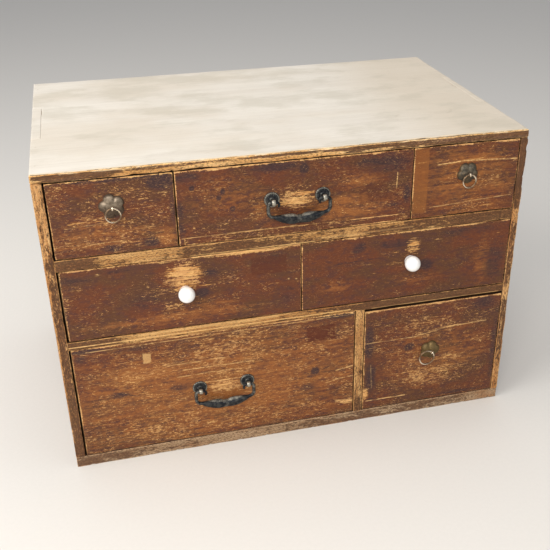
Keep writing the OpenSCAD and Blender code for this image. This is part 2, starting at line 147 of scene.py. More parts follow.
def solid(boxes, cuts, step):
    """The closed surface of some boxes less some others: points, quads, and how far each point is from
    both ends of the wood along each axis."""
    low, high = np.min([b[0] for b in boxes], 0), np.max([b[1] for b in boxes], 0)
    lines = []
    for axis in range(3):
        breaks = sorted({round(float(corner[axis]), 7) for b in [*boxes, *cuts] for corner in b})
        kept = [b for b in breaks if low[axis] - 1e-6 <= b <= high[axis] + 1e-6]
        lines.append(grid_lines(kept, step[axis]))
    middles = np.meshgrid(*[(v[1:] + v[:-1]) / 2 for v in lines], indexing="ij")

    def inside(box):
        return np.all([(m > box[0][a]) & (m < box[1][a]) for a, m in enumerate(middles)], 0)

    full = np.any([inside(b) for b in boxes], 0)
    for cut in cuts:
        full &= ~inside(cut)
    padded = np.pad(full, 1)
    shape = [len(v) for v in lines]
    quads = []
    for axis in range(3):
        b, c = (axis + 1) % 3, (axis + 2) % 3
        for side in (0, 1):
            beyond = np.roll(padded, 1 - 2 * side, axis)[1:-1, 1:-1, 1:-1]
            cells = np.argwhere(full & ~beyond)
            turn = [(0, 0), (1, 0), (1, 1), (0, 1)] if side else [(0, 0), (0, 1), (1, 1), (1, 0)]
            corners = []
            for db, dc in turn:
                corner = cells.copy()
                corner[:, axis] += side
                corner[:, b] += db
                corner[:, c] += dc
                corners.append(np.ravel_multi_index(corner.T, shape))
            quads.append(np.stack(corners, 1))
    used, quads = np.unique(np.concatenate(quads), return_inverse=True)
    quads = quads.reshape(-1, 4)
    place = np.stack(np.unravel_index(used, shape), 1)
    points = np.stack([lines[a][place[:, a]] for a in range(3)], 1)
    gaps = []
    for axis in range(3):
        first, last = run_ends(full, axis)
        first = np.pad(np.where(full, first, shape[axis]), 1, constant_values=shape[axis])
        last = np.pad(np.where(full, last, -1), 1, constant_values=-1)
        cells = [tuple(place[:, a] + d for a, d in enumerate(s)) for s in np.ndindex(2, 2, 2)]
        start = np.min([first[cell] for cell in cells], 0)
        end = np.max([last[cell] for cell in cells], 0)
        gaps += [points[:, axis] - lines[axis][start], lines[axis][end] - points[:, axis]]
    return points, quads, np.stack(gaps, 1)


def rounded(points, gaps, radius):
    """Points of a box shape moved in to round its arrises, by a radius that may differ between points."""
    offset = np.zeros_like(points)
    for axis in range(3):
        before, after = gaps[:, 2 * axis], gaps[:, 2 * axis + 1]
        offset[:, axis] = np.maximum(0, radius - after) - np.maximum(0, radius - before)
    length = np.maximum(np.linalg.norm(offset, axis=1), 1e-9)
    return points - offset * (1 - radius / length * (length > 1e-8))[:, None]


def mesh_object(name, points, faces, material, flat=False):
    """A new object from points and faces."""
    mesh = bpy.data.meshes.new(name)
    mesh.from_pydata([tuple(p) for p in np.asarray(points).tolist()], [], [tuple(f) for f in faces])
    mesh.update()
    if not flat:
        mesh.shade_smooth()
    mesh.materials.append(material)
    made = bpy.data.objects.new(name, mesh)
    bpy.context.scene.collection.objects.link(made)
    return made


def paint(piece, name, values):
    """Stores one number per point for the material to read."""
    layer = piece.data.attributes.new(name, "FLOAT", "POINT")
    layer.data.foreach_set("value", np.asarray(values, np.float32))


# A bore is cut as a square hole of this share of its radius, and then made round
BORE_CUT = 0.85


def drilled(points, bores):
    """Points round the square holes moved, so that the holes become round bores."""
    moved = points.copy()
    for x, z, radius in bores:
        offset = points[:, [0, 2]] - (x, z)
        ring = np.abs(offset).max(1, keepdims=True) / (BORE_CUT * radius)
        length = np.maximum(np.linalg.norm(offset, axis=1, keepdims=True), 1e-9)
        share = 1 - smooth(ring, 1.2, 2.4)
        moved[:, [0, 2]] += share * offset * (ring * radius / length - 1)
    return moved


def welded(points, quads):
    """Makes one point of those that fall together, and leaves out quads that are folded shut. Gives the
    points, the faces and which of the given points are kept."""
    _, kept, same = np.unique(np.round(points, 6), axis=0, return_index=True, return_inverse=True)
    quads = same.reshape(-1)[quads]
    open_quads = quads[(quads[:, 0] != quads[:, 2]) & (quads[:, 1] != quads[:, 3])]
    faces = [list(dict.fromkeys(quad)) for quad in open_quads.tolist()]
    return points[kept], [face for face in faces if len(face) > 2], kept


def at_points(rule, points):
    """Values at some points from a rule, which is a function of the points or one number."""
    return rule(points) if callable(rule) else np.full(len(points), float(rule))


def put(piece, body, node):
    """The piece rides on a body and stands for a CAD node, whose mesh is hidden."""
    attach(piece, body)
    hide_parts(node)


# The usual radius of an arris, and how much rubbing and chips add to it
ARRIS, RUBBED, CHIPPED = 0.35, 0.8, 1.5


def board(
    node, body, material, boxes=None, cuts=(), step=(6, 6, 6), seed=0, worn=1,
    edges=(1, 1, 1, 1, 1, 1), extra=None, bores=(),
):
    """Puts a board with softened, irregularly worn arrises in the place of a CAD node.

    worn is a rule for the share of wear, and edges say how much each of the six outer faces (-X, +X,
    -Y, +Y, -Z, +Z) is worn. extra maps the names of further painted values to rules, and bores are
    places (x, z) and radii of holes from front to back.
    """
    boxes = boxes or [node_box(node)]
    low, high = boxes[0]
    for x, z, radius in bores:
        half = BORE_CUT * radius
        cuts = [*cuts, at(x - half, low[1] - PAST, z - half, x + half, high[1] + PAST, z + half)]
    points, quads, gaps = solid(boxes, cuts, [s * MM for s in step])
    rub = np.clip(0.5 + 0.5 * waves(points, 34 * MM, seed), 0, 1.6)
    chip = smooth(waves(points, 7 * MM, seed + 1), 1.0, 2.1)
    radius = (ARRIS + at_points(worn, points) * (RUBBED * rub + CHIPPED * chip)) * MM
    thin = np.min(np.ptp(points, axis=0)) * 0.45
    shaped = drilled(rounded(points, gaps, np.minimum(radius, thin)), bores)
    shaped, faces, kept = welded(shaped, quads)
    made = mesh_object(f"{node}_wood", shaped, faces, material)
    paint(made, "arris", np.sort(gaps[kept] / np.array(edges), axis=1)[:, 1])
    for key, rule in (extra or {}).items():
        paint(made, key, at_points(rule, points[kept]))
    put(made, body, node)


def fitting(node, stuff, parts, material, body, high=None):
    """Puts a piece made of some parts in the place of a CAD node. high is what is painted for its metal,
    or a function of its points that gives it."""
    made = mesh_object(f"{node}_{stuff}", *join(parts), material)
    if high is not None:
        points = np.array([v.co for v in made.data.vertices])
        paint(made, "high", high(points) if callable(high) else high)
    put(made, body, node)


# ---------- Swept and turned forms ----------


def join(parts):
    """One list of points and one of faces from several."""
    points, faces = [], []
    for p, f in parts:
        faces += [[i + len(points) for i in face] for face in f]
        points += [tuple(v) for v in np.asarray(p).tolist()]
    return points, faces


def outward(points, faces):
    """The faces of a closed form, turned round if they face into it."""
    corners = points[[(f[0], f[i], f[i + 1]) for f in faces for i in range(1, len(f) - 1)]]
    volume = np.sum(corners[:, 0] * np.cross(corners[:, 1], corners[:, 2]))
    return faces if volume > 0 else [f[::-1] for f in faces]


def lofted(rings, around=False):
    """Faces between rings of points, with the first and last ring capped unless the rings run around."""
    count = len(rings[0])
    last = len(rings) if around else len(rings) - 1
    faces = []
    for i in range(last):
        a, b = i * count, (i + 1) % len(rings) * count
        faces += [[a + k, a + (k + 1) % count, b + (k + 1) % count, b + k] for k in range(count)]
    if not around:
        faces.append(list(range(count))[::-1])
        faces.append([(len(rings) - 1) * count + k for k in range(count)])
    points = np.concatenate(rings)
    return points, outward(points, faces)


def swept(path, radii, across, sides=20, depth=None, around=False, shape=None):
    """A bar along a path that lies in the plane square to across. depth scales its size along across, and
    shape gives the radius of its section round each point of the path."""
    path = np.asarray(path, float)
    across = np.asarray(across, float)
    depth = np.ones(len(path)) if depth is None else depth
    ahead = np.roll(path, -1, 0) - np.roll(path, 1, 0)
    if not around:
        ahead[0], ahead[-1] = path[1] - path[0], path[-1] - path[-2]
    ahead /= np.linalg.norm(ahead, axis=1)[:, None]
    up = np.cross(ahead, across)
    angle = TAU * np.arange(sides) / sides
    shape = np.ones((len(path), sides)) if shape is None else shape
    rings = []
    for p, u, r, d, k in zip(path, up, radii, depth, shape):
        rings.append(p + np.outer(np.cos(angle) * k * r, u) + np.outer(np.sin(angle) * k * r * d, across))
    return lofted(rings, around)


def turned(profile, centre, axis=(0, -1, 0), segments=48, around=False):
    """A profile of (radius, height) turned about an axis through the centre."""
    axis = Vector(axis)
    side = axis.orthogonal().normalized()
    other = axis.cross(side)
    angle = TAU * np.arange(segments) / segments
    ring = np.outer(np.cos(angle), side) + np.outer(np.sin(angle), other)
    return lofted([np.array(centre) + ring * max(r, 1e-6) + np.array(axis) * h for r, h in profile], around)


def relief(centre, bore, outline, height, rings=26, segments=144):
    """A thin plate against the drawer, with a raised face. outline gives its radius by angle, and height
    gives how far its face stands out, by share of that radius and angle."""
    angle = TAU * np.arange(segments) / segments
    edge = outline(angle)
    heading = np.stack([np.cos(angle), np.zeros(segments), np.sin(angle)], 1)
    loops = [np.array(centre) + heading * bore]
    for share in np.linspace(0, 1, rings):
        reach = bore + (edge - bore) * share
        out = height(share, angle, reach)
        loops.append(np.array(centre) + heading * reach[:, None] + np.outer(out, (0, -1, 0)))
    loops.append(np.array(centre) + heading * edge[:, None])
    points, faces = lofted(loops[::-1], around=True)
    return points, faces


# ---------- Materials ----------


def colour(red, green, blue):
    """A colour from screen values of 0 to 255."""
    values = [v / 255 for v in (red, green, blue)]
    return [*[v / 12.92 if v <= 0.04045 else ((v + 0.055) / 1.055) ** 2.4 for v in values], 1]


def along(axis, length, width):
    """Cell size in millimetres for a pattern that runs along an axis."""
    return tuple(length if a == axis else width for a in range(3))


class Surface:
    """A material made of nodes. Its methods add nodes and give back what they put out."""

    def __init__(self, name, inputs=None):
        self.material = bpy.data.materials.new(name)
        self.material.use_nodes = True
        self.tree = self.material.node_tree
        self.shader = self.tree.nodes["Principled BSDF"]
        self.place = self.tree.nodes.new("ShaderNodeTexCoord").outputs["Object"]
        for key, value in (inputs or {}).items():
            self.shader.inputs[key].default_value = value

    def add(self, kind, inputs, output=0, **settings):
        node = self.tree.nodes.new(kind)
        for key, value in settings.items():
            setattr(node, key, value)
        for key, value in inputs.items():
            if isinstance(value, bpy.types.NodeSocket):
                self.tree.links.new(value, node.inputs[key])
            else:
                node.inputs[key].default_value = value
        return node.outputs[output]

    def math(self, kind, a, b=0.0):
        return self.add("ShaderNodeMath", {0: a, 1: b}, operation=kind)

    def chain(self, kind, values):
        total = values[0]
        for value in values[1:]:
            total = self.math(kind, total, value)
        return total

    def sum(self, *values):
        """Adds values up, where a pair counts as what off gives for it."""
        return self.chain("ADD", [self.off(*v) if isinstance(v, tuple) else v for v in values])

    def times(self, *values):
        return self.chain("MULTIPLY", values)

    def most(self, *values):
        return self.chain("MAXIMUM", values)

    def apart(self, a, b):
        return self.math("ABSOLUTE", self.math("SUBTRACT", a, b))

    def vector(self, kind, a, b, output="Value"):
        return self.add("ShaderNodeVectorMath", {0: a, 1: b}, output, operation=kind)

    def step(self, value, low, high, first=0.0, last=1.0):
        inputs = {"Value": value, "From Min": low, "From Max": high, "To Min": first, "To Max": last}
        return self.add("ShaderNodeMapRange", inputs, interpolation_type="SMOOTHSTEP")

    def mix(self, share, a, b):
        return self.add("ShaderNodeMix", {0: share, 6: a, 7: b}, 2, data_type="RGBA")

    def layers(self, base, *tints):
        """Lays tints over a colour, each given with the arguments of the step that shows it."""
        for tint, *shown in tints:
            base = self.mix(self.step(*shown), base, tint)
        return base

    def off(self, value, share):
        """How far a cloudy value is from its middle, times a share."""
        return self.math("MULTIPLY", self.math("SUBTRACT", value, 0.5), share)

    def noise(self, cell, seed, detail=3.0, roughness=0.55, distortion=0.0):
        """Cloudy values of 0 to 1 with a cell size in millimetres along each axis."""
        shift = [seed * 7.31 + 3.7, seed * 3.17 + 9.1, seed * 5.77 + 1.9]
        inputs = {0: self.place, 1: [1000 / c for c in cell], 2: shift}
        where = self.add("ShaderNodeVectorMath", inputs, operation="MULTIPLY_ADD")
        inputs = {"Detail": detail, "Roughness": roughness, "Distortion": distortion}
        return self.add("ShaderNodeTexNoise", {"Vector": where, "Scale": 1, **inputs})

    def painted(self, name):
        return self.add("ShaderNodeAttribute", {}, "Fac", attribute_name=name)

    def axis(self, index):
        return self.add("ShaderNodeSeparateXYZ", {0: self.place}, index)

    def stretch(self, start, end, width, soft=0.3 * MM):
        """1 along a line on the front between two places (x, z), and 0 away from it."""
        run = Vector((end[0] - start[0], 0, end[1] - start[1]))
        ahead = run.normalized()
        side = Vector((-ahead.z, 0, ahead.x))
        offset = self.vector("SUBTRACT", self.place, (start[0], 0, start[1]), 0)
        far, off = (self.vector("DOT_PRODUCT", offset, heading) for heading in (ahead, side))
        middle = self.apart(far, run.length / 2)
        inside = self.step(middle, run.length / 2 - width, run.length / 2 + width, 1, 0)
        return self.times(inside, self.step(self.math("ABSOLUTE", off), width / 2, width / 2 + soft, 1, 0))

    def panel(self, left, right, bottom, top, wobble, soft=0.5 * MM):
        """1 inside a rectangle on the front with a slightly uneven outline."""
        reach = []
        for index, low, high in ((0, left, right), (2, bottom, top)):
            off = self.apart(self.axis(index), (low + high) / 2)
            reach.append(self.math("SUBTRACT", off, (high - low) / 2))
        return self.step(self.sum(self.most(*reach), wobble), -soft, soft, 1, 0)

    def finish(self, base, roughness, height, depth):
        """Connects colour, roughness and a bump of some depth, and gives the material back."""
        normal = self.add("ShaderNodeBump", {"Strength": 1.0, "Distance": depth, "Height": height})
        for key, value in (("Base Color", base), ("Roughness", roughness), ("Normal", normal)):
            self.tree.links.new(value, self.shader.inputs[key])
        return self.material


BARE_LIGHT = colour(228, 182, 118)
GOLD_LIGHT = colour(224, 168, 98)
GOLD_TAN = colour(178, 116, 58)
GOLDEN = colour(192, 138, 82)
FLECK = colour(207, 156, 102)
WORN_ORANGE = colour(158, 98, 50)
STAIN_RED = colour(104, 57, 35)
STAIN_BROWN = colour(91, 58, 38)
STAIN_PURPLE = colour(80, 50, 46)
STAIN_DARK = colour(50, 30, 20)
# Dark patches: dirt, and painted shadow inside the rings and beside the knobs
GRIME_AND_SHADE = colour(58, 43, 46)
# Painted shade of the gaps between the drawers and the carcass, with the old dirt of the drawers' edges
GAP_SHADE_AND_DIRT = colour(56, 39, 30)
INSIDE_LIGHT = colour(186, 152, 108)
INSIDE_BROWN = colour(146, 108, 70)
TOP_PALE = colour(221, 214, 202)
TOP_GREY = colour(198, 189, 176)
TOP_BEIGE = colour(201, 187, 166)
TOP_STAIN = colour(158, 142, 120)
PANEL_TINTS = {"label": colour(88, 42, 26), "patch": BARE_LIGHT, "strip": colour(150, 92, 42)}
# Faint round stains on the upper face: x, y and radius in millimetres
RING_STAINS = [(150, -92, 21), (182, -70, 17)]
# Old wood hardly shines
DULL = {"Specular IOR Level": 0.2}


def bare_wood(s, axis, seed, light, tan):
    """Colour of unfinished wood with its grain, and the grain itself."""
    fibre = s.noise(along(axis, 40, 1.1), seed, 3, 0.6)
    band = s.noise(along(axis, 160, 7), seed + 1, 4, 0.6, 0.4)
    grain = s.sum(s.times(fibre, 0.5), s.times(band, 0.5))
    return s.layers(light, (tan, grain, 0.36, 0.62)), grain


def stained_front(name, corner, seed, warmth, scuffs, rough, marks):
    """The stained face of a drawer, worn through to bare wood at its arrises and round its pull.

    The painted values rub, warm and grime say where it is rubbed bare, gone orange, and darkened by dirt and
    by painted shadow.
    """
    s = Surface(name, DULL)
    bare, grain = bare_wood(s, 0, seed, GOLD_LIGHT, GOLD_TAN)
    streak = s.noise((110, 60, 4.5), seed + 2, 5, 0.62, 0.6)
    cloud = s.noise((48, 60, 26), seed + 3, 4, 0.55)
    mottle = s.noise((9, 60, 3.6), seed + 4, 5, 0.72, 0.3)
    fleck = s.noise((3.2, 60, 1.3), seed + 5, 3, 0.75)
    dash = s.noise((14, 60, 0.85), seed + 6, 2, 0.65)
    crowd = s.noise((26, 60, 16), seed + 7, 3, 0.6)
    grit = s.noise((3.4, 60, 1.0), seed + 8, 4, 0.8)
    rub, warm, grime_and_shadow, arris = (s.painted(key) for key in ("rub", "warm", "grime_and_shadow", "arris"))

    stain = s.layers(
        STAIN_BROWN,
        (STAIN_RED, cloud, 0.4, 0.6),
        (STAIN_PURPLE, mottle, 0.38, 0.52, 0.7, 0),
        (WORN_ORANGE, s.sum(warm, (mottle, 1.6), (streak, 1.3), warmth), 0.1, 0.9, 0, 0.9),
        # Dark patches from the painted ovals: dirt, and painted shadow inside the rings and beside the knobs
        (GRIME_AND_SHADE, s.sum(grime_and_shadow, (mottle, 1.6), (streak, 0.8), (crowd, 0.8)), 0.3, 0.8, 0, 0.85),
    )
    coarse = s.times(s.step(s.sum(crowd, (mottle, 0.6)), 0.36, 0.6, 0.45, 1.2), rough)
    stain = s.mix(s.times(s.step(grit, 0.34, 0.5, 0.6, 0), coarse), stain, STAIN_DARK)
    stain = s.mix(s.times(s.step(grit, 0.52, 0.68, 0, 0.45), coarse), stain, GOLDEN)

    often = s.sum((crowd, 0.3), s.times(rub, 0.2), s.times(grime_and_shadow, -0.06), scuffs)
    flecks = s.step(s.sum(fleck, often), 0.62, 0.7, 0, 0.8)
    dashes = s.step(s.sum(dash, often), 0.67, 0.76, 0, 0.65)
    worn = s.step(s.sum(rub, (streak, 1.8), (dash, 2.0), (fleck, 1.2)), 0.54, 0.9)
    band = s.sum(arris, (crowd, 4 * MM), (fleck, 4 * MM))
    edge = s.step(band, 0.25 * MM, 0.75 * MM, 0.95, 0)
    shown = s.most(flecks, dashes, worn, edge)
    tone = s.layers(FLECK, (BARE_LIGHT, mottle, 0.42, 0.6))
    base = s.mix(shown, stain, s.mix(s.most(flecks, dashes, edge), bare, tone))

    wobble = s.sum((fleck, 3 * MM), (mottle, 5 * MM))
    for kind, strength, *place in marks:
        if kind in PANEL_TINTS:
            left, right, bottom, top = (v * MM for v in place)
            mask = s.panel(corner.x + left, corner.x + right, corner.z + bottom, corner.z + top, wobble)
            mask = s.times(mask, strength, s.step(s.sum(fleck, (mottle, 0.8)), 0.42, 0.64, 1, 0.6))
            tint = PANEL_TINTS[kind]
        else:
            x0, z0, x1, z1, width = (v * MM for v in place)
            mask = s.stretch((corner.x + x0, corner.z + z0), (corner.x + x1, corner.z + z1), width)
            mask = s.times(mask, strength, s.step(s.sum(dash, fleck), 0.86, 1.1, 0.1, 1))
            tint = GRIME_AND_SHADE if kind == "crack" else BARE_LIGHT
        base = s.mix(mask, base, tint)

    # The stain is on the face only: the edges and the inside are bare, and dark near the face: painted shade
    # of the gaps, with old dirt
    depth = s.sum(s.axis(1), (fleck, 1.6 * MM))
    plain = s.layers(INSIDE_LIGHT, (INSIDE_BROWN, grain, 0.36, 0.62))
    inner = s.layers(GAP_SHADE_AND_DIRT, (plain, depth, face_y + 3 * MM, face_y + 10 * MM))
    base = s.layers(base, (inner, depth, face_y + 0.7 * MM, face_y + 1.6 * MM))
    roughness = s.sum(s.times(shown, 0.2), (fleck, 0.5), 0.5)
    height = s.sum(s.times(shown, -0.5), s.times(grain, 0.6), s.times(grit, 0.5))
    return s.finish(base, roughness, height, 0.35 * MM)


def plain_wood(name, axis, seed):
    """Unfinished wood gone brown with age."""
    s = Surface(name)
    base, grain = bare_wood(s, axis, seed, INSIDE_LIGHT, INSIDE_BROWN)
    stain = s.noise((60, 60, 60), seed + 3, 4, 0.6)
    fine = s.noise(along(axis, 9, 0.7), seed + 4, 2, 0.6)
    base = s.layers(
        base, (colour(112, 84, 58), stain, 0.5, 0.75, 0, 0.5), (colour(86, 62, 44), fine, 0.62, 0.74, 0, 0.4)
    )
    return s.finish(base, s.sum(s.times(fine, 0.3), 0.62), s.sum(grain, s.times(fine, 0.5)), 0.3 * MM)


def bleached(s, base, chip, seed):
    """Lays the bleached, washed-out finish of the upper face over a colour."""
    mist = s.noise((150, 90, 60), seed, 4, 0.6)
    line = s.noise((130, 2.6, 60), seed + 1, 4, 0.6)
    band = s.noise((240, 34, 60), seed + 2, 4, 0.55)
    scratch = s.noise((16, 1.0, 60), seed + 3, 3, 0.7)
    cloud = s.noise((70, 36, 60), seed + 4, 4, 0.6)
    streaks = s.sum(s.times(line, 0.5), s.times(band, 0.5))
    right = s.step(s.sum(s.axis(0), (mist, 90 * MM)), 60 * MM, 190 * MM, 0, 0.65)
    pale = s.layers(TOP_PALE, (TOP_GREY, streaks, 0.34, 0.68, 0, 0.5))
    pale = s.layers(
        s.mix(s.most(s.step(mist, 0.4, 0.7, 0, 0.4), right), pale, TOP_BEIGE),
        (colour(182, 174, 156), cloud, 0.44, 0.64, 0, 0.4),
        (colour(168, 154, 132), scratch, 0.62, 0.74, 0, 0.5),
        (colour(232, 226, 214), scratch, 0.26, 0.38, 0.6, 0),
    )
    for x, y, radius in RING_STAINS:
        away = s.vector("DISTANCE", s.place, (x * MM, y * MM, cad_high.z))
        off = s.apart(s.sum(away, (line, 2 * MM)), radius * MM)
        mark = s.times(s.step(off, 0.4 * MM, 2.4 * MM, 0.3, 0), s.step(cloud, 0.48, 0.62))
        pale = s.mix(mark, pale, TOP_STAIN)
    rim = s.sum(s.math("SUBTRACT", s.axis(1), front_y), (scratch, 7 * MM), (mist, 9 * MM), (chip, 9 * MM))
    pale = s.layers(pale, (colour(232, 208, 168), rim, 2.4 * MM, 6 * MM, 0.7, 0))
    above, top = s.sum(s.axis(2), (chip, 1.2 * MM)), cad_high.z
    cream = s.times(s.step(above, top - 2.2 * MM, top - 0.6 * MM), s.step(chip, 0.36, 0.5, 1, 0))
    base = s.mix(s.times(cream, 0.85), base, colour(240, 214, 170))
    kept = s.times(s.step(above, top - 1.3 * MM, top - 0.5 * MM), s.step(rim, 1.6 * MM, 2.4 * MM))
    return s.mix(kept, base, pale)


def peg_wood(name, seed):
    """Stained wooden pegs, bleached where they end in the upper face."""
    s = Surface(name)
    base, grain = bare_wood(s, 2, seed, colour(150, 116, 78), colour(98, 70, 46))
    fine = s.noise((0.7, 0.7, 0.7), seed + 4, 2, 0.6)
    pale = s.layers(TOP_GREY, (TOP_BEIGE, fine, 0.4, 0.7))
    base = s.layers(base, (pale, s.axis(2), cad_high.z - 0.6 * MM, cad_high.z - 0.2 * MM))
    return s.finish(base, s.sum(s.times(fine, 0.3), 0.62), s.sum(grain, fine), 0.1 * MM)


def outside_stain(s, axis, seed, bare, arris):
    """The stain on the ends and the back of the carcass, worn through at its arrises."""
    cloud = s.noise(along(axis, 120, 50), seed, 4, 0.6)
    streak = s.noise(along(axis, 90, 5), seed + 1, 5, 0.62)
    mottle = s.noise(along(axis, 12, 4), seed + 2, 5, 0.7)
    fleck = s.noise(along(axis, 5, 1.4), seed + 3, 3, 0.7)
    stain = s.layers(
        STAIN_BROWN,
        (STAIN_RED, cloud, 0.4, 0.6),
        (STAIN_PURPLE, mottle, 0.38, 0.54, 0.7, 0),
        (WORN_ORANGE, s.sum((streak, 1.5), (mottle, 1.2), (cloud, 0.8)), 0.05, 0.7, 0, 0.6),
        (STAIN_DARK, streak, 0.3, 0.44, 0.5, 0),
    )
    scuff = s.step(s.sum(fleck, (cloud, 0.35)), 0.64, 0.76, 0, 0.6)
    edge = s.step(s.sum(arris, (mottle, 7 * MM), (fleck, 3 * MM)), 0.4 * MM, 1.4 * MM, 0.95, 0)
    return s.mix(s.most(scuff, edge), stain, bare)


def carcass_wood(name, axis, seed, light, tan, remnant, lines=(), run=8, depth=1.0):
    """Worn wood with remnants of its finish. The painted value cover says how much finish is left, and
    lines are bright scratches on the front, each its two ends, width and strength. depth says how dark
    the darkest of the finish is."""
    s = Surface(name, DULL)
    bare, grain = bare_wood(s, axis, seed, colour(*light), colour(*tan))
    chip = s.noise(along(axis, run, 2.6), seed + 2, 5, 0.75, 0.5)
    patch = s.noise(along(axis, 4 * run, 8), seed + 3, 4, 0.6)
    grit = s.noise(along(axis, 2.6, 1.1), seed + 4, 3, 0.7)
    arris, cover = s.painted("arris"), s.painted("cover")
    warm = s.sum(s.times(patch, 0.6), s.times(grit, 0.4))
    bare = s.layers(bare, (WORN_ORANGE, warm, 0.48, 0.64, 0, 0.55))
    near = s.step(arris, 0, 1.1 * MM, -0.2, 0.02)
    left = s.step(s.sum(s.times(chip, 0.6), s.times(patch, 0.4), near, (cover, 0.42)), 0.49, 0.54)
    old = s.layers(
        colour(*remnant),
        (STAIN_BROWN, patch, 0.4, 0.6, 0, depth),
        (STAIN_DARK, chip, 0.48, 0.58, 0, 0.8 * depth),
    )
    old = s.mix(s.times(s.step(grit, 0.54, 0.68, 0, 0.5), s.step(cover, 0.85, 1.0, 1, 0.3)), old, GOLDEN)
    base = s.mix(s.times(left, 0.9), bare, old)
    base = s.layers(base, (colour(84, 56, 38), grit, 0.4, 0.54, 0.75, 0))
    for start, end, width, strength in lines:
        ends = [(x * MM, z * MM) for x, z in (start, end)]
        mask = s.times(s.stretch(*ends, width * MM), strength, s.step(chip, 0.36, 0.56, 0.4, 1))
        base = s.mix(mask, base, BARE_LIGHT)
    behind = s.sum(s.math("SUBTRACT", s.axis(1), front_y), (chip, 1.4 * MM))
    plain = s.layers(INSIDE_BROWN, (INSIDE_LIGHT, grain, 0.4, 0.6))
    # Darker inside near the front: painted shade of the gaps behind the drawer fronts
    inside = s.layers(GAP_SHADE_AND_DIRT, (plain, behind, 14 * MM, 50 * MM))
    ends = s.sum(s.math("ABSOLUTE", s.axis(0)), (chip, 1.2 * MM))
    rear = s.sum(s.axis(1), (chip, 1.2 * MM))
    reached = ((ends, cad_high.x), (rear, rear_y))
    outer = s.most(*(s.step(value, face - 1.9 * MM, face - 0.9 * MM) for value, face in reached))
    inside = s.mix(outer, inside, outside_stain(s, axis, seed + 20, bare, arris))
    base = s.layers(base, (inside, behind, 0.8 * MM, 2 * MM))
    base = bleached(s, base, chip, seed + 7)
    roughness = s.sum(s.times(left, -0.12), s.times(grit, 0.2), 0.62)
    flat = s.step(s.axis(2), cad_high.z - 1 * MM, cad_high.z - 0.4 * MM, 1, 0.2)
    height = s.times(s.sum(s.times(grain, 0.7), s.times(left, 0.5), s.times(grit, 0.5)), flat)
    return s.finish(base, roughness, height, 0.4 * MM)


def old_metal(name, seed, dark, bright, patina, roughness, metallic, pitted=0.15):
    """Dark metal, rubbed bright on its high places. The painted value high says where those are; it also
    holds a painted highlight on the bail's grip, and painted shade on the lower part of the ring plates.
    """
    s = Surface(name, {"Metallic": metallic})
    dark, bright, patina = (colour(*tint) for tint in (dark, bright, patina))
    cloud = s.noise((5, 5, 5), seed, 4, 0.65)
    fine = s.noise((0.8, 0.8, 0.8), seed + 1, 3, 0.6)
    rubbed = s.step(s.sum(s.painted("high"), (cloud, 0.8), (fine, 0.8)), 0.25, 0.9)
    base = s.mix(rubbed, s.layers(dark, (patina, cloud, 0.4, 0.62)), bright)
    base = s.layers(base, (dark, fine, 0.5, 0.66, 0, 0.35))
    rough = s.sum(s.times(rubbed, -0.25), s.times(fine, 0.2), roughness)
    return s.finish(base, rough, s.sum(cloud, s.times(fine, 0.35)), pitted * MM)


def glazed(name):
    """White glazed porcelain."""
    coat = {"Coat Weight": 0.6, "Coat Roughness": 0.05, "IOR": 1.5}
    body = {"Subsurface Weight": 0.5, "Subsurface Scale": 0.004, "Subsurface Radius": (1, 1, 1)}
    s = Surface(name, {**coat, **body})
    cloud = s.noise((6, 6, 6), 3, 3, 0.5)
    pit = s.noise((0.9, 0.9, 0.9), 4, 2, 0.5)
    base = s.layers(
        colour(250, 249, 245),
        (colour(243, 241, 234), cloud, 0.4, 0.7),
        (colour(196, 186, 168), pit, 0.72, 0.8, 0, 0.35),
    )
    return s.finish(base, s.sum(s.times(cloud, 0.06), 0.14), cloud, 0.15 * MM)


IRON = old_metal("dark_iron", 11, (38, 40, 44), (184, 178, 162), (72, 72, 70), 0.46, 0.85, 0.35)
BRONZE = old_metal("old_bronze", 13, (82, 68, 55), (168, 152, 130), (104, 87, 70), 0.52, 0.65)
DARK_BRONZE = old_metal("dark_bronze", 14, (72, 66, 56), (160, 154, 138), (98, 80, 56), 0.52, 0.65)
BRASS = old_metal("old_brass", 15, (98, 80, 48), (176, 148, 98), (96, 76, 46), 0.52, 0.65)
RING_WIRE = old_metal("ring_wire", 16, (134, 112, 88), (246, 230, 204), (110, 86, 64), 0.3, 0.95, 0.35)
PORCELAIN = glazed("porcelain")
PLAIN_X = plain_wood("plain_wood_across", 0, 31)
PLAIN_Y = plain_wood("plain_wood_deep", 1, 33)
PLAIN_Z = plain_wood("plain_wood_upright", 2, 35)


# ---------- Carcass ----------


def front_wear(points):
    """Wear is full along the front, and slight elsewhere."""
    return 0.25 + 0.75 * smooth(-points[:, 1], -front_y - 10 * MM, -front_y - 4 * MM)


def notches(low_z, high_z):
    """Where the sides' middle fingers go through a flat board."""
    return [
        at(cad_low.x - PAST, -finger, low_z - PAST, inner_left, finger, high_z + PAST),
        at(inner_right, -finger, low_z - PAST, cad_high.x + PAST, finger, high_z + PAST),
    ]


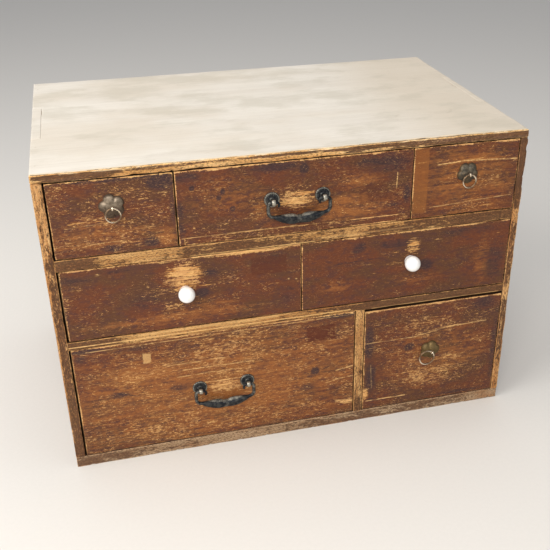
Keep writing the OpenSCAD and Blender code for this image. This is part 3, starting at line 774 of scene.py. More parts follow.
# How much finish is left along each board's front, as pairs of a place in millimetres and a share. The
# top board has it for its lower part, its upper part and its upper arris.
COVERS = {
    "top_lower": [
        (-250, 0.1), (-238, 0.6), (-225, 0.9), (-195, 0.8), (-170, 0.25), (-130, 0.1), (-20, 0.05),
        (40, 0.25), (60, 0.6), (90, 0.3), (130, 0.55), (175, 0.8), (250, 0.95),
    ],
    "top_upper": [
        (-250, 0.25), (-242, 1.1), (-180, 1.1), (-165, 0.4), (-120, 0.7), (-60, 0.5), (-20, 0.75),
        (20, 0.55), (60, 0.95), (80, 0.65), (115, 0.9), (140, 0.55), (180, 0.85), (250, 1.0),
    ],
    "top_rim": [
        (-250, 0.0), (-235, 0.35), (-180, 0.3), (-165, 0.1), (-60, 0.2), (0, 0.4), (60, 0.2), (90, 0.45),
        (130, 0.35), (175, 0.3), (250, 0.4),
    ],
    "bottom_board": [(-250, 0.6), (-100, 0.35), (100, 0.55), (200, 0.55), (240, 0.1), (250, 0.0)],
    "left_side": [(0, 0.95), (60, 0.8), (130, 0.65), (200, 0.62), (270, 0.45), (340, 0.2)],
    "right_side": [
        (0, 0.1), (16, 0.3), (60, 0.5), (130, 0.65), (152, 0.2), (160, 0.6), (235, 0.6), (246, 0.15),
        (256, 0.7), (275, 1.0), (340, 1.0),
    ],
    "upper_shelf": [
        (-240, 0.85), (-212, 0.7), (-195, 0.35), (-120, 0.35), (-100, 0.6), (0, 0.55), (60, 0.35),
        (130, 0.55), (170, 0.7), (242, 0.8),
    ],
    "lower_shelf": [
        (-240, 0.9), (-195, 0.7), (-175, 0.3), (-60, 0.15), (20, 0.4), (66, 0.55), (80, 1.0), (180, 1.0),
        (230, 0.9), (242, 0.6),
    ],
    "low_divider": [(0, 0.6), (60, 0.4), (110, 0.1), (150, 0.05)],
}


def cover_by(axis, name):
    """Finish left along an axis."""
    places, shares = zip(*COVERS[name])
    return {"cover": lambda points: np.interp(points[:, axis], np.array(places) * MM, shares)}


def top_cover(points):
    """Finish left on the top board's front: a ragged dark band under the upper arris, and dark wood to
    the right."""
    x, z = points[:, 0] / MM, (points[:, 2] - ceiling) / MM
    lower, upper, rim = (np.interp(x, *zip(*COVERS[key])) for key in ("top_lower", "top_upper", "top_rim"))
    share, over = smooth(z, 3.8, 5.0), smooth(z, 6.8, 7.8)
    return lower * (1 - share) + (upper * (1 - over) + rim * over) * share


board(
    "top_board", "carcass",
    carcass_wood("bleached_top", 0, 41, (246, 206, 144), (218, 162, 94), (90, 60, 56), run=20),
    cuts=notches(ceiling, cad_high.z), step=(2, 8, 3), seed=1,
    worn=lambda p: 0.5 + 1.5 * front_wear(p), extra={"cover": top_cover},
)
board(
    "bottom_board", "carcass",
    carcass_wood("bottom_wood", 0, 51, (188, 158, 124), (160, 130, 98), (118, 92, 72), depth=0.5),
    cuts=notches(0, floor_top), step=(2.2, 9, 3), seed=2,
    worn=front_wear, edges=(1, 1, 1, 1, 1.6, 1), extra=cover_by(0, "bottom_board"),
)

side_material = carcass_wood("side_wood", 2, 61, (222, 178, 120), (184, 126, 72), (88, 56, 42))
for number, name, outer, inner, outer_edges in (
    (3, "left_side", cad_low.x, inner_left, (2.4, 0.8)),
    (4, "right_side", cad_high.x, inner_right, (0.8, 1.4)),
):
    x0, x1 = sorted((outer, inner))
    near, far = sorted((inner, inner + math.copysign(HOUSING, outer)))
    shelves = [BOX[shelf] for shelf in ("upper_shelf", "lower_shelf")]
    board(
        name, "carcass", side_material,
        [at(x0, front_y, floor_top, x1, rear_y, ceiling), at(x0, -finger, cad_low.z, x1, finger, cad_high.z)],
        [at(near, front_y + SHELF_LIP, low.z, far, panel_y, high.z) for low, high in shelves],
        (3, 8, 2.2), number,
        worn=lambda p: 0.45 + 1.1 * front_wear(p), edges=(*outer_edges, 1, 1, 1, 1), extra=cover_by(2, name),
    )

# Bright scratches on the shelves' fronts: their two ends (x, z), width and strength
SHELF_LINES = {
    "upper_shelf": [((-110, 240.6), (20, 240.8), 0.9, 0.8), ((20, 243.5), (128, 244.5), 1.6, 0.22)],
    "lower_shelf": [
        ((-240, 152.8), (60, 152.8), 0.8, 1.0), ((-170, 157), (-20, 157.4), 2.4, 0.5),
        ((84, 150.5), (236, 150.5), 0.7, 0.6),
    ],
}
SHELF_COLOURS = (212, 166, 106), (178, 128, 72), (94, 60, 40)
for number, (name, lines) in enumerate(SHELF_LINES.items()):
    low, high = BOX[name]
    # Both shelves have the same grain
    material = carcass_wood(f"{name}_wood_skin", 0, 81, *SHELF_COLOURS, lines=lines)
    tongues = at(low.x, front_y + SHELF_LIP, low.z, high.x, panel_y, high.z)
    board(
        name, "carcass", material,
        [at(inner_left, front_y, low.z, inner_right, panel_y, high.z), tongues],
        step=(2.2, 9, 3), seed=5 + number, worn=front_wear, extra=cover_by(0, name),
    )

low, high = BOX["low_divider"]
board(
    "low_divider", "carcass",
    carcass_wood("divider_wood", 2, 77, (214, 170, 110), (178, 128, 76), (104, 76, 56)),
    [
        at(low.x, front_y, floor_top, high.x, panel_y, BOX["lower_shelf"][0].z),
        at(low.x, front_y + SHELF_LIP, low.z, high.x, panel_y, high.z),
    ],
    step=(3, 9, 2.2), seed=7, worn=front_wear, extra=cover_by(2, "low_divider"),
)
for number, name in enumerate(("top_left_divider", "top_right_divider", "mid_divider")):
    board(name, "carcass", PLAIN_Z, step=(4, 12, 6), seed=8 + number, worn=front_wear)
board("back_panel", "carcass", PLAIN_X, step=(6, 3, 6), seed=12)


def peg(head, outward):
    """One wooden peg, its head a hair proud of the board."""
    profile = [(0, 0.16), (0.7, 0.14), (1.1, 0.05), (1.25, -0.15), (1.25, -8), (1.0, -8.6), (0, -8.6)]
    return turned([(r * MM, h * MM) for r, h in profile], head, outward, 14)


pegs = []
for x in ((cad_low.x + inner_left) / 2, (cad_high.x + inner_right) / 2):
    for end in (-1, 1):
        for share in (0.25, 0.75):
            y = end * finger * (1 + 2 * share)
            pegs.append(peg((x, y, cad_high.z), (0, 0, 1)))
            pegs.append(peg((x, y, cad_low.z + 0.2 * MM), (0, 0, -1)))
for shelf in ("lower_shelf", "upper_shelf"):
    z = (BOX[shelf][0].z + BOX[shelf][1].z) / 2
    for share in (-0.32, 0.02, 0.36):
        y = share * (rear_y - front_y)
        pegs.append(peg((cad_low.x, y, z), (-1, 0, 0)))
        pegs.append(peg((cad_high.x, y, z), (1, 0, 0)))
    for x in (-0.2, -0.1, 0, 0.1, 0.2):
        pegs.append(peg((x, rear_y, z), (0, 1, 0)))
fitting("carcass_pegs", "wood", pegs, peg_wood("peg_wood", 37), "carcass")


# ---------- Drawers ----------

# Places on each front, as ovals: across, up, half width, half height, strength, in millimetres from the
# front's left end and lower edge. First where it is rubbed bare, then where it is darkened, by dirt and by
# painted shadow inside the rings and beside the knobs, then where it is orange.
RUBS = {
    "top_left": [
        (84, 58, 22, 10, 0.32), (43, 55, 8, 7, 0.32), (38, 34, 24, 8, 0.35), (60, 14, 46, 9, 0.24),
        (69, 70, 30, 4, 0.11), (107, 9, 9, 6, 0.25),
    ],
    "top_middle": [
        (121, 37, 18, 9, 0.9), (121, 50, 22, 4, 0.36), (172, 24, 26, 9, 0.18), (187, 50, 26, 3, 0.29),
        (86, 26, 12, 10, 0.26), (202, 17, 20, 6, 0.16),
    ],
    "top_right": [(60, 60, 40, 3, 0.32), (80, 38, 30, 18, 0.19), (70, 14, 40, 10, 0.23)],
    "mid_left": [
        (122, 58, 19, 15, 1.0), (104, 46, 12, 3, 0.36), (143, 46, 12, 4, 0.36), (106, 26, 11, 3.5, 0.6),
        (156, 46, 28, 6, 0.22), (94, 48, 24, 8, 0.22), (2, 42, 4, 14, 0.32), (85, 15, 70, 5, 0.14),
        (190, 77.6, 44, 2.4, 0.9), (110, 77.6, 30, 1.6, 0.7),
    ],
    "mid_right": [
        (124, 61, 9, 9, 0.9), (104, 57, 20, 3, 0.32), (104, 44, 14, 2.5, 0.26), (146, 66, 20, 3, 0.24),
        (125, 21, 34, 3, 0.17), (30, 22, 30, 8, 0.11),
    ],
    "low_left": [
        (155, 64, 19, 8, 0.78), (162, 106, 50, 16, 0.26), (70, 96, 34, 10, 0.22), (120, 20, 80, 14, 0.19),
        (165, 82, 30, 4, 0.32), (295, 16, 10, 3, 0.8), (245, 85, 20, 10, 0.11),
    ],
    "low_right": [
        (77, 129, 22, 6, 0.3), (80, 103, 48, 12, 0.32), (80, 37, 36, 11, 0.52), (104, 57, 24, 4, 0.55),
        (84, 92, 40, 4, 0.3), (59, 63, 26, 14, 0.22), (3, 22, 3.5, 8, 0.9), (70, 24, 44, 6, 0.22),
    ],
}
GRIME_AND_SHADOW_OVALS = {
    "top_left": [
        # The first oval is painted shadow inside the ring
        (59, 40, 6, 4, 0.9), (106, 70, 16, 9, 0.9), (62, 77, 50, 3.5, 0.7), (116, 44, 3.5, 28, 0.6),
        (5, 34, 9, 14, 0.45), (53, 6, 12, 4, 0.8), (93, 8, 8, 5, 1.0), (22, 3, 20, 2, 0.5),
    ],
    "top_middle": [
        (10, 71, 18, 7, 0.6), (3, 30, 5, 28, 0.6), (97, 73, 26, 6, 0.8), (128, 70, 5, 8, 0.8),
        (212, 66, 34, 12, 0.65), (238, 30, 5, 14, 0.7), (223, 19, 10, 3, 0.6), (16, 60, 2.4, 2.4, 1.3),
        (46, 53, 2.2, 2.6, 1.3), (42, 47, 2.2, 2.2, 1.3), (55, 34, 2.6, 3, 1),
    ],
    "top_right": [
        # The first oval is painted shadow inside the ring
        (60, 39, 5, 4, 1.1), (22, 47, 6, 24, 0.4), (119, 26, 4, 24, 0.6), (108, 51, 10, 6, 0.4),
        (22, 15, 8, 10, 0.3),
    ],
    "mid_left": [
        # The last oval is the knob's painted shadow, below and to its right
        (14, 69, 22, 5, 0.6), (70, 74, 44, 4, 0.6), (2, 24, 3.5, 14, 0.6), (211, 66, 22, 8, 0.5),
        (148, 59, 9, 5, 0.8), (230, 22, 14, 14, 0.5), (78, 34, 22, 16, 0.45), (139, 38, 8, 6, 1.0),
    ],
    "mid_right": [
        # The last oval is the knob's painted shadow, below and to its right
        (62, 66, 9, 9, 0.6), (106, 66, 24, 6, 0.75), (190, 71, 44, 5, 0.6), (222, 30, 12, 26, 0.6),
        (140, 37, 9, 8, 0.9),
    ],
    "low_left": [
        (18, 132, 18, 2.5, 1.2), (9, 122, 8, 8, 0.6), (68, 127, 14, 3, 0.7), (288, 134, 20, 4, 1.3),
        (259, 65, 4.5, 4.5, 1.4), (44, 72, 12, 4, 0.7), (108, 70, 14, 5, 0.7), (252, 44, 12, 6, 0.6),
        (8, 70, 6, 50, 0.35),
    ],
    "low_right": [
        (6, 92, 6, 26, 0.8), (9, 45, 7, 26, 0.8), (161, 60, 5, 60, 0.65), (143, 124, 16, 12, 0.7),
        (54, 78, 7, 5, 0.9), (120, 4, 40, 2.5, 0.6), (10, 12, 6, 3, 0.8),
    ],
}
WARMS = {
    "top_left": [(45, 20, 50, 14, 0.5), (107, 12, 10, 10, 0.7)],
    "top_middle": [
        (50, 50, 44, 18, 0.45), (175, 22, 50, 16, 0.75), (187, 50, 24, 8, 0.7), (86, 26, 16, 14, 0.6),
    ],
    "top_right": [(62, 36, 60, 40, 0.6)],
    "mid_left": [(110, 13, 80, 8, 0.6), (150, 24, 26, 10, 0.5)],
    "mid_right": [(38, 24, 20, 8, 0.5), (125, 22, 30, 8, 0.4), (206, 34, 10, 30, 0.5)],
    "low_left": [(150, 60, 150, 60, 0.5), (75, 94, 50, 16, 0.6)],
    "low_right": [(85, 60, 60, 40, 0.45), (84, 37, 24, 12, 0.5)],
}
OVALS = {"rub": RUBS, "grime_and_shadow": GRIME_AND_SHADOW_OVALS, "warm": WARMS}

# Marks on each front: kind, strength, then the left, right, bottom and top of a panel, or the two ends
# and the width of a scratch or crack, in the same millimetres
MARKS = {
    "top_left": [("scratch", 0.5, 12, 31, 60, 34, 0.8), ("scratch", 0.4, 30, 12, 78, 14, 0.8)],
    "top_middle": [
        ("label", 0.4, 186, 216, 24, 44), ("scratch", 0.9, 226.5, 54.5, 226, 37, 0.7),
        ("scratch", 0.6, 2, 7.2, 120, 8.2, 0.9),
    ],
    "top_right": [
        ("strip", 0.6, 1, 16, 6, 77), ("scratch", 1.0, 26, 57.6, 53, 59.5, 1.2),
        ("scratch", 0.8, 53, 59.8, 116, 56.5, 1.1), ("scratch", 0.5, 20, 11, 112, 16, 0.8),
    ],
    "mid_left": [
        ("label", 0.6, 191, 228, 50, 70), ("scratch", 1, 229.4, 40.8, 230.6, 40.8, 1.2),
        ("scratch", 1, 237.6, 39.5, 238.8, 39.5, 1.4), ("scratch", 0.9, 36, 72, 38.5, 72, 1.8),
    ],
    "mid_right": [("crack", 1.2, 38, 50, 88, 52, 0.8)],
    "low_left": [
        ("label", 0.9, 250, 282, 104, 123), ("patch", 0.6, 72, 80, 108, 119),
        ("scratch", 0.6, 1, 130.6, 304, 132.4, 0.7), ("scratch", 0.8, 283, 61, 303.5, 64.5, 1.1),
        ("scratch", 0.8, 280, 48.8, 303.5, 50.5, 1.1), ("scratch", 0.8, 284, 17.6, 304, 16, 2.6),
        ("crack", 0.8, 37, 76.5, 62, 67.5, 1.1), ("scratch", 0.8, 124, 72.5, 178, 71.5, 1.0),
        ("scratch", 0.6, 105, 84, 168, 84.5, 0.9), ("scratch", 0.65, 112, 92, 186, 91, 1.0),
        ("scratch", 0.55, 96, 100, 158, 101, 0.9),
    ],
    "low_right": [
        ("scratch", 0.6, 2, 90.6, 58, 90.6, 1.0), ("scratch", 0.65, 58, 90.6, 101, 98.1, 1.3),
        ("scratch", 0.65, 101, 98.1, 148, 99.4, 1.4), ("scratch", 0.8, 4, 11, 53, 11, 1.2),
        ("scratch", 0.25, 8.5, 61, 10.7, 28, 1.0),
    ],
}

# How much some fronts have shrunk at their left end and at their upper edge, in millimetres
SHRUNK = {
    "top_left": (0.7, 0.3), "top_middle": (0.5, 0.4), "mid_left": (1.2, 0), "low_left": (0.8, 0),
    "low_right": (0, 1.2),
}

# How warm, how scuffed and how grainy each front is
TONES = {
    "top_left": (0.0, 0.015, 0.9),
    "top_middle": (-0.15, -0.01, 0.75),
    "top_right": (-0.05, -0.02, 0.7),
    "mid_left": (-0.12, -0.01, 0.5),
    "mid_right": (-0.12, -0.03, 0.5),
    "low_left": (0.12, 0.042, 1.0),
    "low_right": (-0.02, 0.015, 0.9),
}

# The radii of the bores for the pulls, and how deep a knob sits on its screw, in millimetres
POST_BORE, STAPLE_BORE, SCREW_BORE = 1.65, 1.05, 1.95
SCREW_DEPTH = 11.1
# The least wood left over a rebate
THIN_WEB = 1 * MM


def pull_centre(drawer):
    """Where a drawer's pull sits on its front, as (x, z)."""
    kinds = (("rosettes", BAIL_DRAWERS), ("staple", RING_DRAWERS), ("knob", KNOB_DRAWERS))
    low, high = BOX[f"{drawer}_" + next(kind for kind, drawers in kinds if drawer in drawers)]
    return (low.x + high.x) / 2, (low.z + high.z) / 2


def rosette_sizes(drawer):
    """The radius of a bail's rosettes, and how far apart their middles are."""
    low, high = BOX[f"{drawer}_rosettes"]
    return (high.z - low.z) / 2, high.x - low.x - (high.z - low.z)


def bores_of(drawer):
    """The bores in a drawer's front for its pull, as places (x, z) and radii."""
    x, z = pull_centre(drawer)
    if drawer in BAIL_DRAWERS:
        apart = rosette_sizes(drawer)[1] / 2
        return [(x - apart, z, POST_BORE * MM), (x + apart, z, POST_BORE * MM)]
    return [(x, z, (STAPLE_BORE if drawer in RING_DRAWERS else SCREW_BORE) * MM)]


def oval_places(drawer, ovals):
    """How strong some ovals are at the points of a drawer's front."""
    corner = BOX[f"{drawer}_front"][0]

    def rule(points):
        total = np.zeros(len(points))
        for across, up, wide, tall, strength in ovals:
            x = (points[:, 0] - corner.x - across * MM) / (wide * MM)
            z = (points[:, 2] - corner.z - up * MM) / (tall * MM)
            total = np.maximum(total, strength * np.exp(-0.7 * (x * x + z * z) ** 1.5))
        return total

    return rule


def face_wear(points):
    """Wear on a drawer's front is at its face only."""
    return 0.15 + 0.6 * smooth(-points[:, 1], -face_y - 4 * MM, -face_y - 1 * MM)


for number, drawer in enumerate(DRAWERS):
    body = f"{drawer}_drawer"
    low, high = BOX[f"{drawer}_front"]
    side_low, side_high = BOX[f"{drawer}_sides"]
    base_low, base_high = BOX[f"{drawer}_bottom"]
    sides = [
        at(*side_low, side_low.x + DRAWER_SIDE, side_high.y, side_high.z),
        at(side_high.x - DRAWER_SIDE, side_low.y, side_low.z, *side_high),
    ]
    gap_left, gap_top = SHRUNK.get(drawer, (0, 0))
    front = at(low.x + gap_left * MM, low.y, low.z, high.x, high.y, high.z - gap_top * MM)
    # A rebate runs out at the top where too little wood would be left over it
    rebate_top = side_high.z if front[1][2] - side_high.z > THIN_WEB else high.z + PAST
    cuts = [(side[0], (side[1][0], high.y + PAST, rebate_top)) for side in sides]
    cuts.append(at(*base_low, base_high.x, high.y + PAST, base_high.z))
    # Some bottoms run through to the face, and show their stained edge there
    through = base_low.y < low.y + 2 * MM
    if through:
        cuts.append(at(base_low.x, low.y - PAST, base_low.z, base_high.x, low.y + PAST, base_high.z))
    material = stained_front(f"{drawer}_stain", low, 100 + 12 * number, *TONES[drawer], MARKS[drawer])
    board(
        f"{drawer}_front", body, material, [front], cuts, (2, 4, 2), 20 + 3 * number,
        worn=face_wear, edges=(1.1, 0.5, 1, 1, 0.4, 1.7), bores=bores_of(drawer),
        extra={key: oval_places(drawer, ovals[drawer]) for key, ovals in OVALS.items()},
    )
    parts = []
    for side in sides:
        points, quads, gaps = solid([side], [], [8 * MM, 9 * MM, 7 * MM])
        radius = (0.4 + 0.4 * np.clip(waves(points, 30 * MM, number), 0, 2)) * MM
        parts.append((rounded(points, gaps, radius), quads))
    fitting(f"{drawer}_sides", "wood", parts, PLAIN_Y, body)
    board(f"{drawer}_back", body, PLAIN_X, step=(9, 3, 7), seed=60 + number, worn=0.3)
    board(
        f"{drawer}_bottom", body, material if through else PLAIN_X,
        step=(3, 9, 3), seed=70 + number, worn=0.3, extra={"rub": 0.25},
    )


# ---------- Bail handles ----------

# In millimetres: the bar's radius at the hooks, in the arms and in the grip, and how flat the grip is
BAIL_R, ARM_R, GRIP_R, GRIP_FLAT = 1.5, 1.8, 5.0, 0.68
# The radii the bar bends by at the foot and the head of an arm and at its curled tip
CORNER_R, HOOK_R, CURL_R = 6.0, 3.4, 3.0
# How much the grip's ends rise, and how far the collar in its middle reaches to each side
GRIP_RISE, COLLAR = 4.6, 2.4
# Half the width of an eye, and the play beside it
EYE_HALF, EYE_PLAY = 1.9, 0.3
BAIL_SIDES = 28
# The radius of an eye, which is also how far it reaches out past the line its pull swings about
POST_EYE_R = 3.1 * MM
STAPLE_EYE_R = 2.3 * MM
# Which way each facet of the grip's section faces, from its upper edge to the back, and how far out it is
GRIP_FACETS = ((-28, 0.86), (-105, 0.86), (180, 0.9), (75, 0.86))


def half_bail(spacing, drop):
    """Half of a bail's centre line from the middle of its grip to its curled tip, as x, z and radius in
    millimetres."""
    arm_x = spacing / 2 + EYE_HALF + EYE_PLAY + HOOK_R
    end = arm_x - CORNER_R
    line = []

    def leaf(share):
        return math.sin(math.pi * min(1, share) ** 0.62) ** 0.9 if share < 1 else 0

    def grip_z(x):
        return -drop + GRIP_RISE * (x / end) ** 2

    for x in np.concatenate([np.linspace(0, COLLAR, 13), np.linspace(COLLAR, end, 34)[1:]]):
        if x < COLLAR:
            radius = GRIP_R * (0.7 + 0.2 * abs(math.sin(x / COLLAR * 2.5 * math.pi)))
        else:
            radius = ARM_R + (GRIP_R - ARM_R) * leaf((x - COLLAR + 2.2) / (end - COLLAR + 2.2))
        line.append((x, grip_z(x), radius))
    for turn in np.linspace(25, 90, 12)[1:]:
        a = math.radians(turn)
        line.append((end + CORNER_R * math.sin(a), grip_z(end) + CORNER_R * (1 - math.cos(a)), ARM_R))
    for turn in np.linspace(0, 90, 12):
        a = math.radians(turn)
        radius = ARM_R + (BAIL_R - ARM_R) * turn / 90
        line.append((arm_x - HOOK_R + HOOK_R * math.cos(a), -HOOK_R + HOOK_R * math.sin(a), radius))
    for turn in np.linspace(0, 120, 16):
        a = math.radians(turn)
        x = spacing / 2 - EYE_HALF - 2 * EYE_PLAY - CURL_R * math.sin(a)
        line.append((x, -CURL_R + CURL_R * math.cos(a), BAIL_R * (1 - turn / 600)))
    tip_x, tip_z, tip_r = line[-1]
    back = Vector((line[-1][0] - line[-2][0], line[-1][1] - line[-2][1])).normalized()
    for turn in (30, 60, 80):
        out, radius = tip_r * math.sin(math.radians(turn)), tip_r * math.cos(math.radians(turn))
        line.append((tip_x + back.x * out, tip_z + back.y * out, radius))
    return np.array(line)


def bail(drawer, centre_x, centre_z, spacing, pivot_y):
    """The swinging handle: a leaf-shaped grip with a collar, and arms that hook through the eyes. Gives
    its form and how bright its metal is: rubbed on the arms and the collar's beads, with a painted highlight
    along the grip's upper edge."""
    drop = (centre_z - BOX[f"{drawer}_bail"][0].z) / MM - GRIP_R * 0.98
    half = half_bail(spacing / MM, drop)
    line = np.concatenate([half[:0:-1] * (-1, 1, 1), half])
    path = np.stack([centre_x + line[:, 0] * MM, np.full(len(line), pivot_y), centre_z + line[:, 1] * MM], 1)
    thick = np.clip((line[:, 2] - ARM_R) / (GRIP_R - ARM_R), 0, 1)
    angle = TAU * np.arange(BAIL_SIDES) / BAIL_SIDES
    facets = sum(np.maximum(0, np.cos(angle - math.radians(turn)) / flat) ** 9 for turn, flat in GRIP_FACETS)
    shape = 1 + thick[:, None] * (facets ** (-1 / 9) - 1)
    depth = 1 - (1 - GRIP_FLAT) * thick
    points, faces = swept(path, line[:, 2] * MM, (0, 1, 0), BAIL_SIDES, depth, shape=shape)
    high_up = points[:, 2] - np.repeat(path[:, 2], BAIL_SIDES)
    aside = np.abs(points[:, 0] - centre_x)
    arms = smooth(aside, 24 * MM, 31 * MM)
    # A painted highlight along the grip's upper edge
    crest_highlight = smooth(high_up, 2.6 * MM, 3.9 * MM)
    beads = np.abs(np.sin(aside / (COLLAR * MM) * 2.5 * math.pi)) * (aside < COLLAR * MM)
    return (points, faces), 0.06 + 0.46 * np.maximum(crest_highlight, 0.8 * beads) * (1 - arms) + 0.34 * arms


def rosette(centre, radius):
    """A small chrysanthemum disc: a beaded rim, a ring of petals and a raised middle."""

    def outline(angle):
        return radius * (0.965 + 0.035 * np.abs(np.cos(10 * angle)))

    def height(share, angle, reach):
        petals = 0.45 * np.abs(np.cos(8 * angle)) * smooth(share, 0.25, 0.5) * (1 - smooth(share, 0.7, 0.82))
        rim = 0.75 * np.exp(-(((share - 0.9) / 0.07) ** 2)) * (0.55 + 0.45 * np.abs(np.cos(10 * angle)))
        dome = 1.25 * (1 - share * share) + 0.35
        boss = 0.9 * (1 - smooth(share, 0.1, 0.3))
        edge = 1 - smooth(share, 0.94, 1.0) * 0.6
        return (dome + petals + rim + boss) * edge * MM

    return relief(centre, POST_BORE * MM, outline, height)


def eye_post(x, z, pivot_y, eye_r, half, hole, shank, turn=0.0):
    """An eye on a shank through the drawer front, its two legs clenched against the inside."""
    inside = face_y + FRONT_THICK
    across = Vector((math.cos(turn), 0, math.sin(turn)))
    middle, wall = (eye_r + hole) / 2, (eye_r - hole) / 2
    loop = []
    for a in TAU * np.arange(20) / 20:
        out, aside = (math.copysign(abs(v) ** 0.75, v) for v in (math.cos(a), math.sin(a)))
        loop.append((middle + wall * out, half * aside))
    eye = turned(loop, (x, pivot_y, z), across, 40, around=True)
    start = pivot_y + hole + 0.5 * wall
    ys = [start, start + 0.5 * MM, inside + 0.4 * MM, inside + 1.0 * MM]
    neck = swept([(x, y, z) for y in ys], [shank * k for k in (1.15, 1, 1, 0.8)], (1, 0, 0), 16)
    legs = []
    for end in (-1, 1):
        reach = [0, 0.8, 4, 8, 9.2]
        path = [(x, inside + (0.95 - 0.01 * r * r) * MM, z + end * r * MM) for r in reach]
        legs.append(swept(path, [0.7 * MM, 0.75 * MM, 0.7 * MM, 0.55 * MM, 0.2 * MM], (1, 0, 0), 12))
    return [eye, neck, *legs]


def stands_out(base, top, level, shade_below=None):
    """How far points stand out from the drawer, as the places that get rubbed. Below a given height they
    are kept dark: painted shade, as the lower part faces away from the light."""

    def rule(points):
        lit_share = 1 if shade_below is None else smooth(points[:, 2], shade_below - 7 * MM, shade_below + 3 * MM)
        return level * smooth(face_y - points[:, 1], base, top) * lit_share

    return rule


def rosette_rubs(x, z, spacing, radius):
    """The rims and the middles of two rosettes are rubbed."""

    def rule(points):
        away = np.hypot(np.abs(points[:, 0] - x) - spacing / 2, points[:, 2] - z) / radius
        return 0.12 + 0.55 * np.exp(-(((away - 0.88) / 0.09) ** 2)) + 0.25 * (1 - smooth(away, 0.3, 0.45))

    return rule


for drawer in BAIL_DRAWERS:
    body = f"{drawer}_drawer"
    x, z = pull_centre(drawer)
    radius, spacing = rosette_sizes(drawer)
    pivot_y = BOX[f"{drawer}_posts"][0].y + POST_EYE_R
    handle, rubbed = bail(drawer, x, z, spacing, pivot_y)
    fitting(f"{drawer}_bail", "iron", [handle], IRON, f"{drawer}_bail", rubbed)
    places = [x - spacing / 2, x + spacing / 2]
    discs = [rosette((place, face_y, z), radius) for place in places]
    fitting(f"{drawer}_rosettes", "iron", discs, IRON, body, rosette_rubs(x, z, spacing, radius))
    posts = []
    for place in places:
        posts += eye_post(place, z, pivot_y, POST_EYE_R, EYE_HALF * MM, 1.6 * MM, 1.6 * MM)
    fitting(f"{drawer}_posts", "iron", posts, IRON, body, stands_out(2 * MM, 10 * MM, 0.8))


# ---------- Ring pulls ----------

PETAL_R = 6.1 * MM
# How far each plate is turned, its radius, how far its ring hangs askew, its metal and how rubbed it is
RING = {
    "top_left": (15, 12.6 * MM, 0, BRONZE, 0.58),
    "top_right": (36, 11.8 * MM, 0, DARK_BRONZE, 0.42),
    "low_right": (-20, 11.8 * MM, 42, BRASS, 0.45),
}


def blossom(centre, radius, turn):
    """A plum blossom plate: five puffed petals round a low dome."""
    offset = radius - PETAL_R
    spots = [math.radians(turn + 90 + 72 * k) for k in range(5)]

    def outline(angle):
        best = np.zeros(len(angle))
        for spot in spots:
            along_petal = offset * np.cos(angle - spot)
            inside = PETAL_R**2 - (offset * np.sin(angle - spot)) ** 2
            best = np.maximum(best, np.where(inside > 0, along_petal + np.sqrt(np.maximum(inside, 0)), 0))
        return best

    def height(share, angle, reach):
        puff = 4.2 * math.sqrt(max(0, 1 - share**2.4))
        crease = np.ones(len(angle))
        for spot in spots:
            between = np.abs((angle - spot + math.pi / 5) % TAU)
            between = np.minimum(between, TAU - between) * reach
            crease -= 0.16 * np.exp(-((between / (1.5 * MM)) ** 2)) * smooth(share, 0.35, 0.9)
        return (puff * crease + 0.3) * MM

    return relief(centre, STAPLE_BORE * MM, outline, height, 34, 180)


for drawer in RING_DRAWERS:
    body = f"{drawer}_drawer"
    turn, radius, askew, metal, level = RING[drawer]
    x, z = pull_centre(drawer)
    tilt = math.radians(askew)
    ring_low, ring_high = BOX[f"{drawer}_ring"]
    pivot_y = BOX[f"{drawer}_staple"][0].y + STAPLE_EYE_R
    wire = (ring_high.y - ring_low.y) / 2
    ring_r = (ring_high.x - ring_low.x) / 2 - wire
    plate = blossom((x, face_y, z), radius, turn)
    # Kept dark below the plate's middle: painted shade of its lower petals
    rubbed = stands_out(0.2 * MM, 3.2 * MM, level, z)
    fitting(f"{drawer}_plate", "bronze", [plate], metal, body, rubbed)
    staple = eye_post(x, z, pivot_y, STAPLE_EYE_R, 0.9 * MM, 0.95 * MM, 1.0 * MM, -tilt)
    rubbed = stands_out(2 * MM, 8 * MM, 0.7)
    fitting(f"{drawer}_staple", "bronze", staple, RING_WIRE, body, rubbed)
    angle = TAU * np.arange(72) / 72
    centre = np.array((x, pivot_y, z)) + ring_r * np.array((-math.sin(tilt), 0, -math.cos(tilt)))
    path = centre + ring_r * np.stack([np.cos(angle), np.zeros(72), np.sin(angle)], 1)
    thickness = wire * (0.96 + 0.04 * np.sin(3 * angle + tilt))
    ring = swept(path, thickness, (0, 1, 0), 16, around=True)
    rubbed = 0.45 + 0.3 * np.sin(np.repeat(angle, 16) * 2)
    fitting(f"{drawer}_ring", "bronze", [ring], RING_WIRE, f"{drawer}_ring", rubbed)


# ---------- Knobs ----------

# A knob's neck from the screw in the drawer front outwards, as radius and height in millimetres. It
# meets the ball at the last of these radii.
NECK = [
    (0, SCREW_DEPTH), (SCREW_BORE, SCREW_DEPTH), (SCREW_BORE, 0), (6.0, 0), (6.2, 0.25), (6.2, 1.4),
    (6.3, 2.2), (6.55, 3.1), (7.0, 4.0),
]

for drawer in KNOB_DRAWERS:
    x, z = pull_centre(drawer)
    low, high = BOX[f"{drawer}_knob"]
    ball = (high.x - low.x) / 2
    reach = face_y - low.y - ball
    profile = [(r * MM, h * MM) for r, h in NECK]
    start = math.asin(NECK[-1][0] * MM / ball)
    for a in np.linspace(start + 0.06, math.pi - 0.02, 34):
        profile.append((ball * math.sin(a), reach - ball * math.cos(a)))
    profile.append((0, reach + ball))
    knob = turned(profile, (x, face_y, z), segments=64)
    fitting(f"{drawer}_knob", "porcelain", [knob], PORCELAIN, f"{drawer}_drawer")
    # The screw keeps its CAD mesh
    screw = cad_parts[f"{drawer}_screw"]
    screw.data.materials.clear()
    screw.data.materials.append(BRONZE)


# ---------- Floor, light and camera ----------

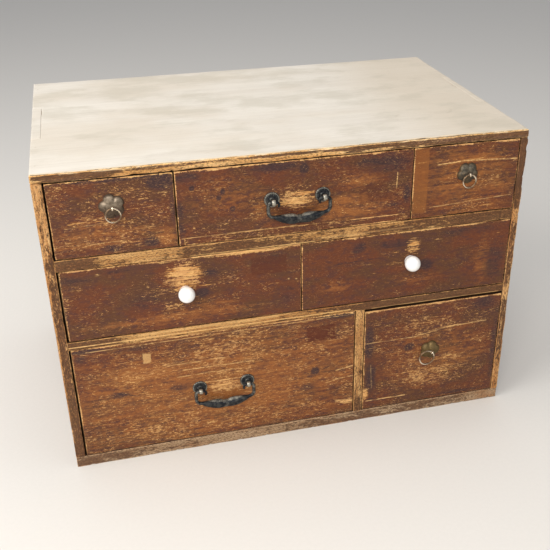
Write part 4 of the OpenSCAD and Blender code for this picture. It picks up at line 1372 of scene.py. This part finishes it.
s = Surface("pale_floor")
speckle = s.noise((4, 4, 4), 91, 3, 0.6)
floor_colour = s.mix(speckle, colour(222, 218, 211), colour(228, 224, 217))
floor_material = s.finish(floor_colour, s.sum(s.times(speckle, 0.1), 0.6), speckle, 0.05 * MM)
FLOOR_SIZE = 6.0
corners = [(x * FLOOR_SIZE, y * FLOOR_SIZE, cad_low.z) for x, y in ((-1, -1), (1, -1), (1, 1), (-1, 1))]
floor = mesh_object("floor", corners, [(0, 1, 2, 3)], floor_material, flat=True)
floor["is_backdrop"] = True


def soft_light(name, place, target, width, height, power, tint):
    """A rectangular studio light that faces a point."""
    lamp = bpy.data.lights.new(name, "AREA")
    lamp.shape = "RECTANGLE"
    lamp.size, lamp.size_y = width, height
    lamp.energy = power
    lamp.color = tint
    made = bpy.data.objects.new(name, lamp)
    made.location = place
    made.rotation_euler = (Vector(target) - Vector(place)).to_track_quat("-Z", "Y").to_euler()
    bpy.context.scene.collection.objects.link(made)


middle = (cad_low + cad_high) / 2
soft_light("window", (-1.3, -0.5, 1.35), middle, 1.3, 1.0, 20.5, (1.0, 0.98, 0.95))
soft_light("front", (-0.6, -1.9, 1.35), middle, 1.3, 0.9, 27, (1.0, 0.97, 0.93))
soft_light("ceiling", (0.1, 0.1, 1.9), middle, 1.6, 1.4, 9, (1.0, 0.98, 0.96))

world = bpy.data.worlds.new("studio")
world.use_nodes = True
sky = world.node_tree.nodes["Background"].inputs
sky["Color"].default_value = (0.93, 0.95, 1.0, 1)
sky["Strength"].default_value = 0.42
bpy.context.scene.world = world
bpy.context.scene.view_settings.view_transform = "Standard"

CAMERA_PLACE = (-0.191, -0.919, 0.6226)
# Turned to the side, tilted up from straight down, and rolled, in degrees
CAMERA_TURN, CAMERA_TILT, CAMERA_ROLL = -14.64, 61.3, -0.28
CAMERA_LENS = 55.5
CAMERA_SHIFT = (-0.0527, 0.0159)
lens = bpy.data.cameras.new("camera")
lens.lens = CAMERA_LENS
lens.shift_x, lens.shift_y = CAMERA_SHIFT
camera = bpy.data.objects.new("camera", lens)
turn, tilt, roll = (
    Euler([math.radians(a) for a in angles]).to_matrix()
    for angles in ((0, 0, CAMERA_TURN), (CAMERA_TILT, 0, 0), (0, 0, CAMERA_ROLL))
)
camera.rotation_euler = (turn @ tilt @ roll).to_euler()
camera.location = CAMERA_PLACE
bpy.context.scene.collection.objects.link(camera)
bpy.context.scene.camera = camera

low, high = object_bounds()
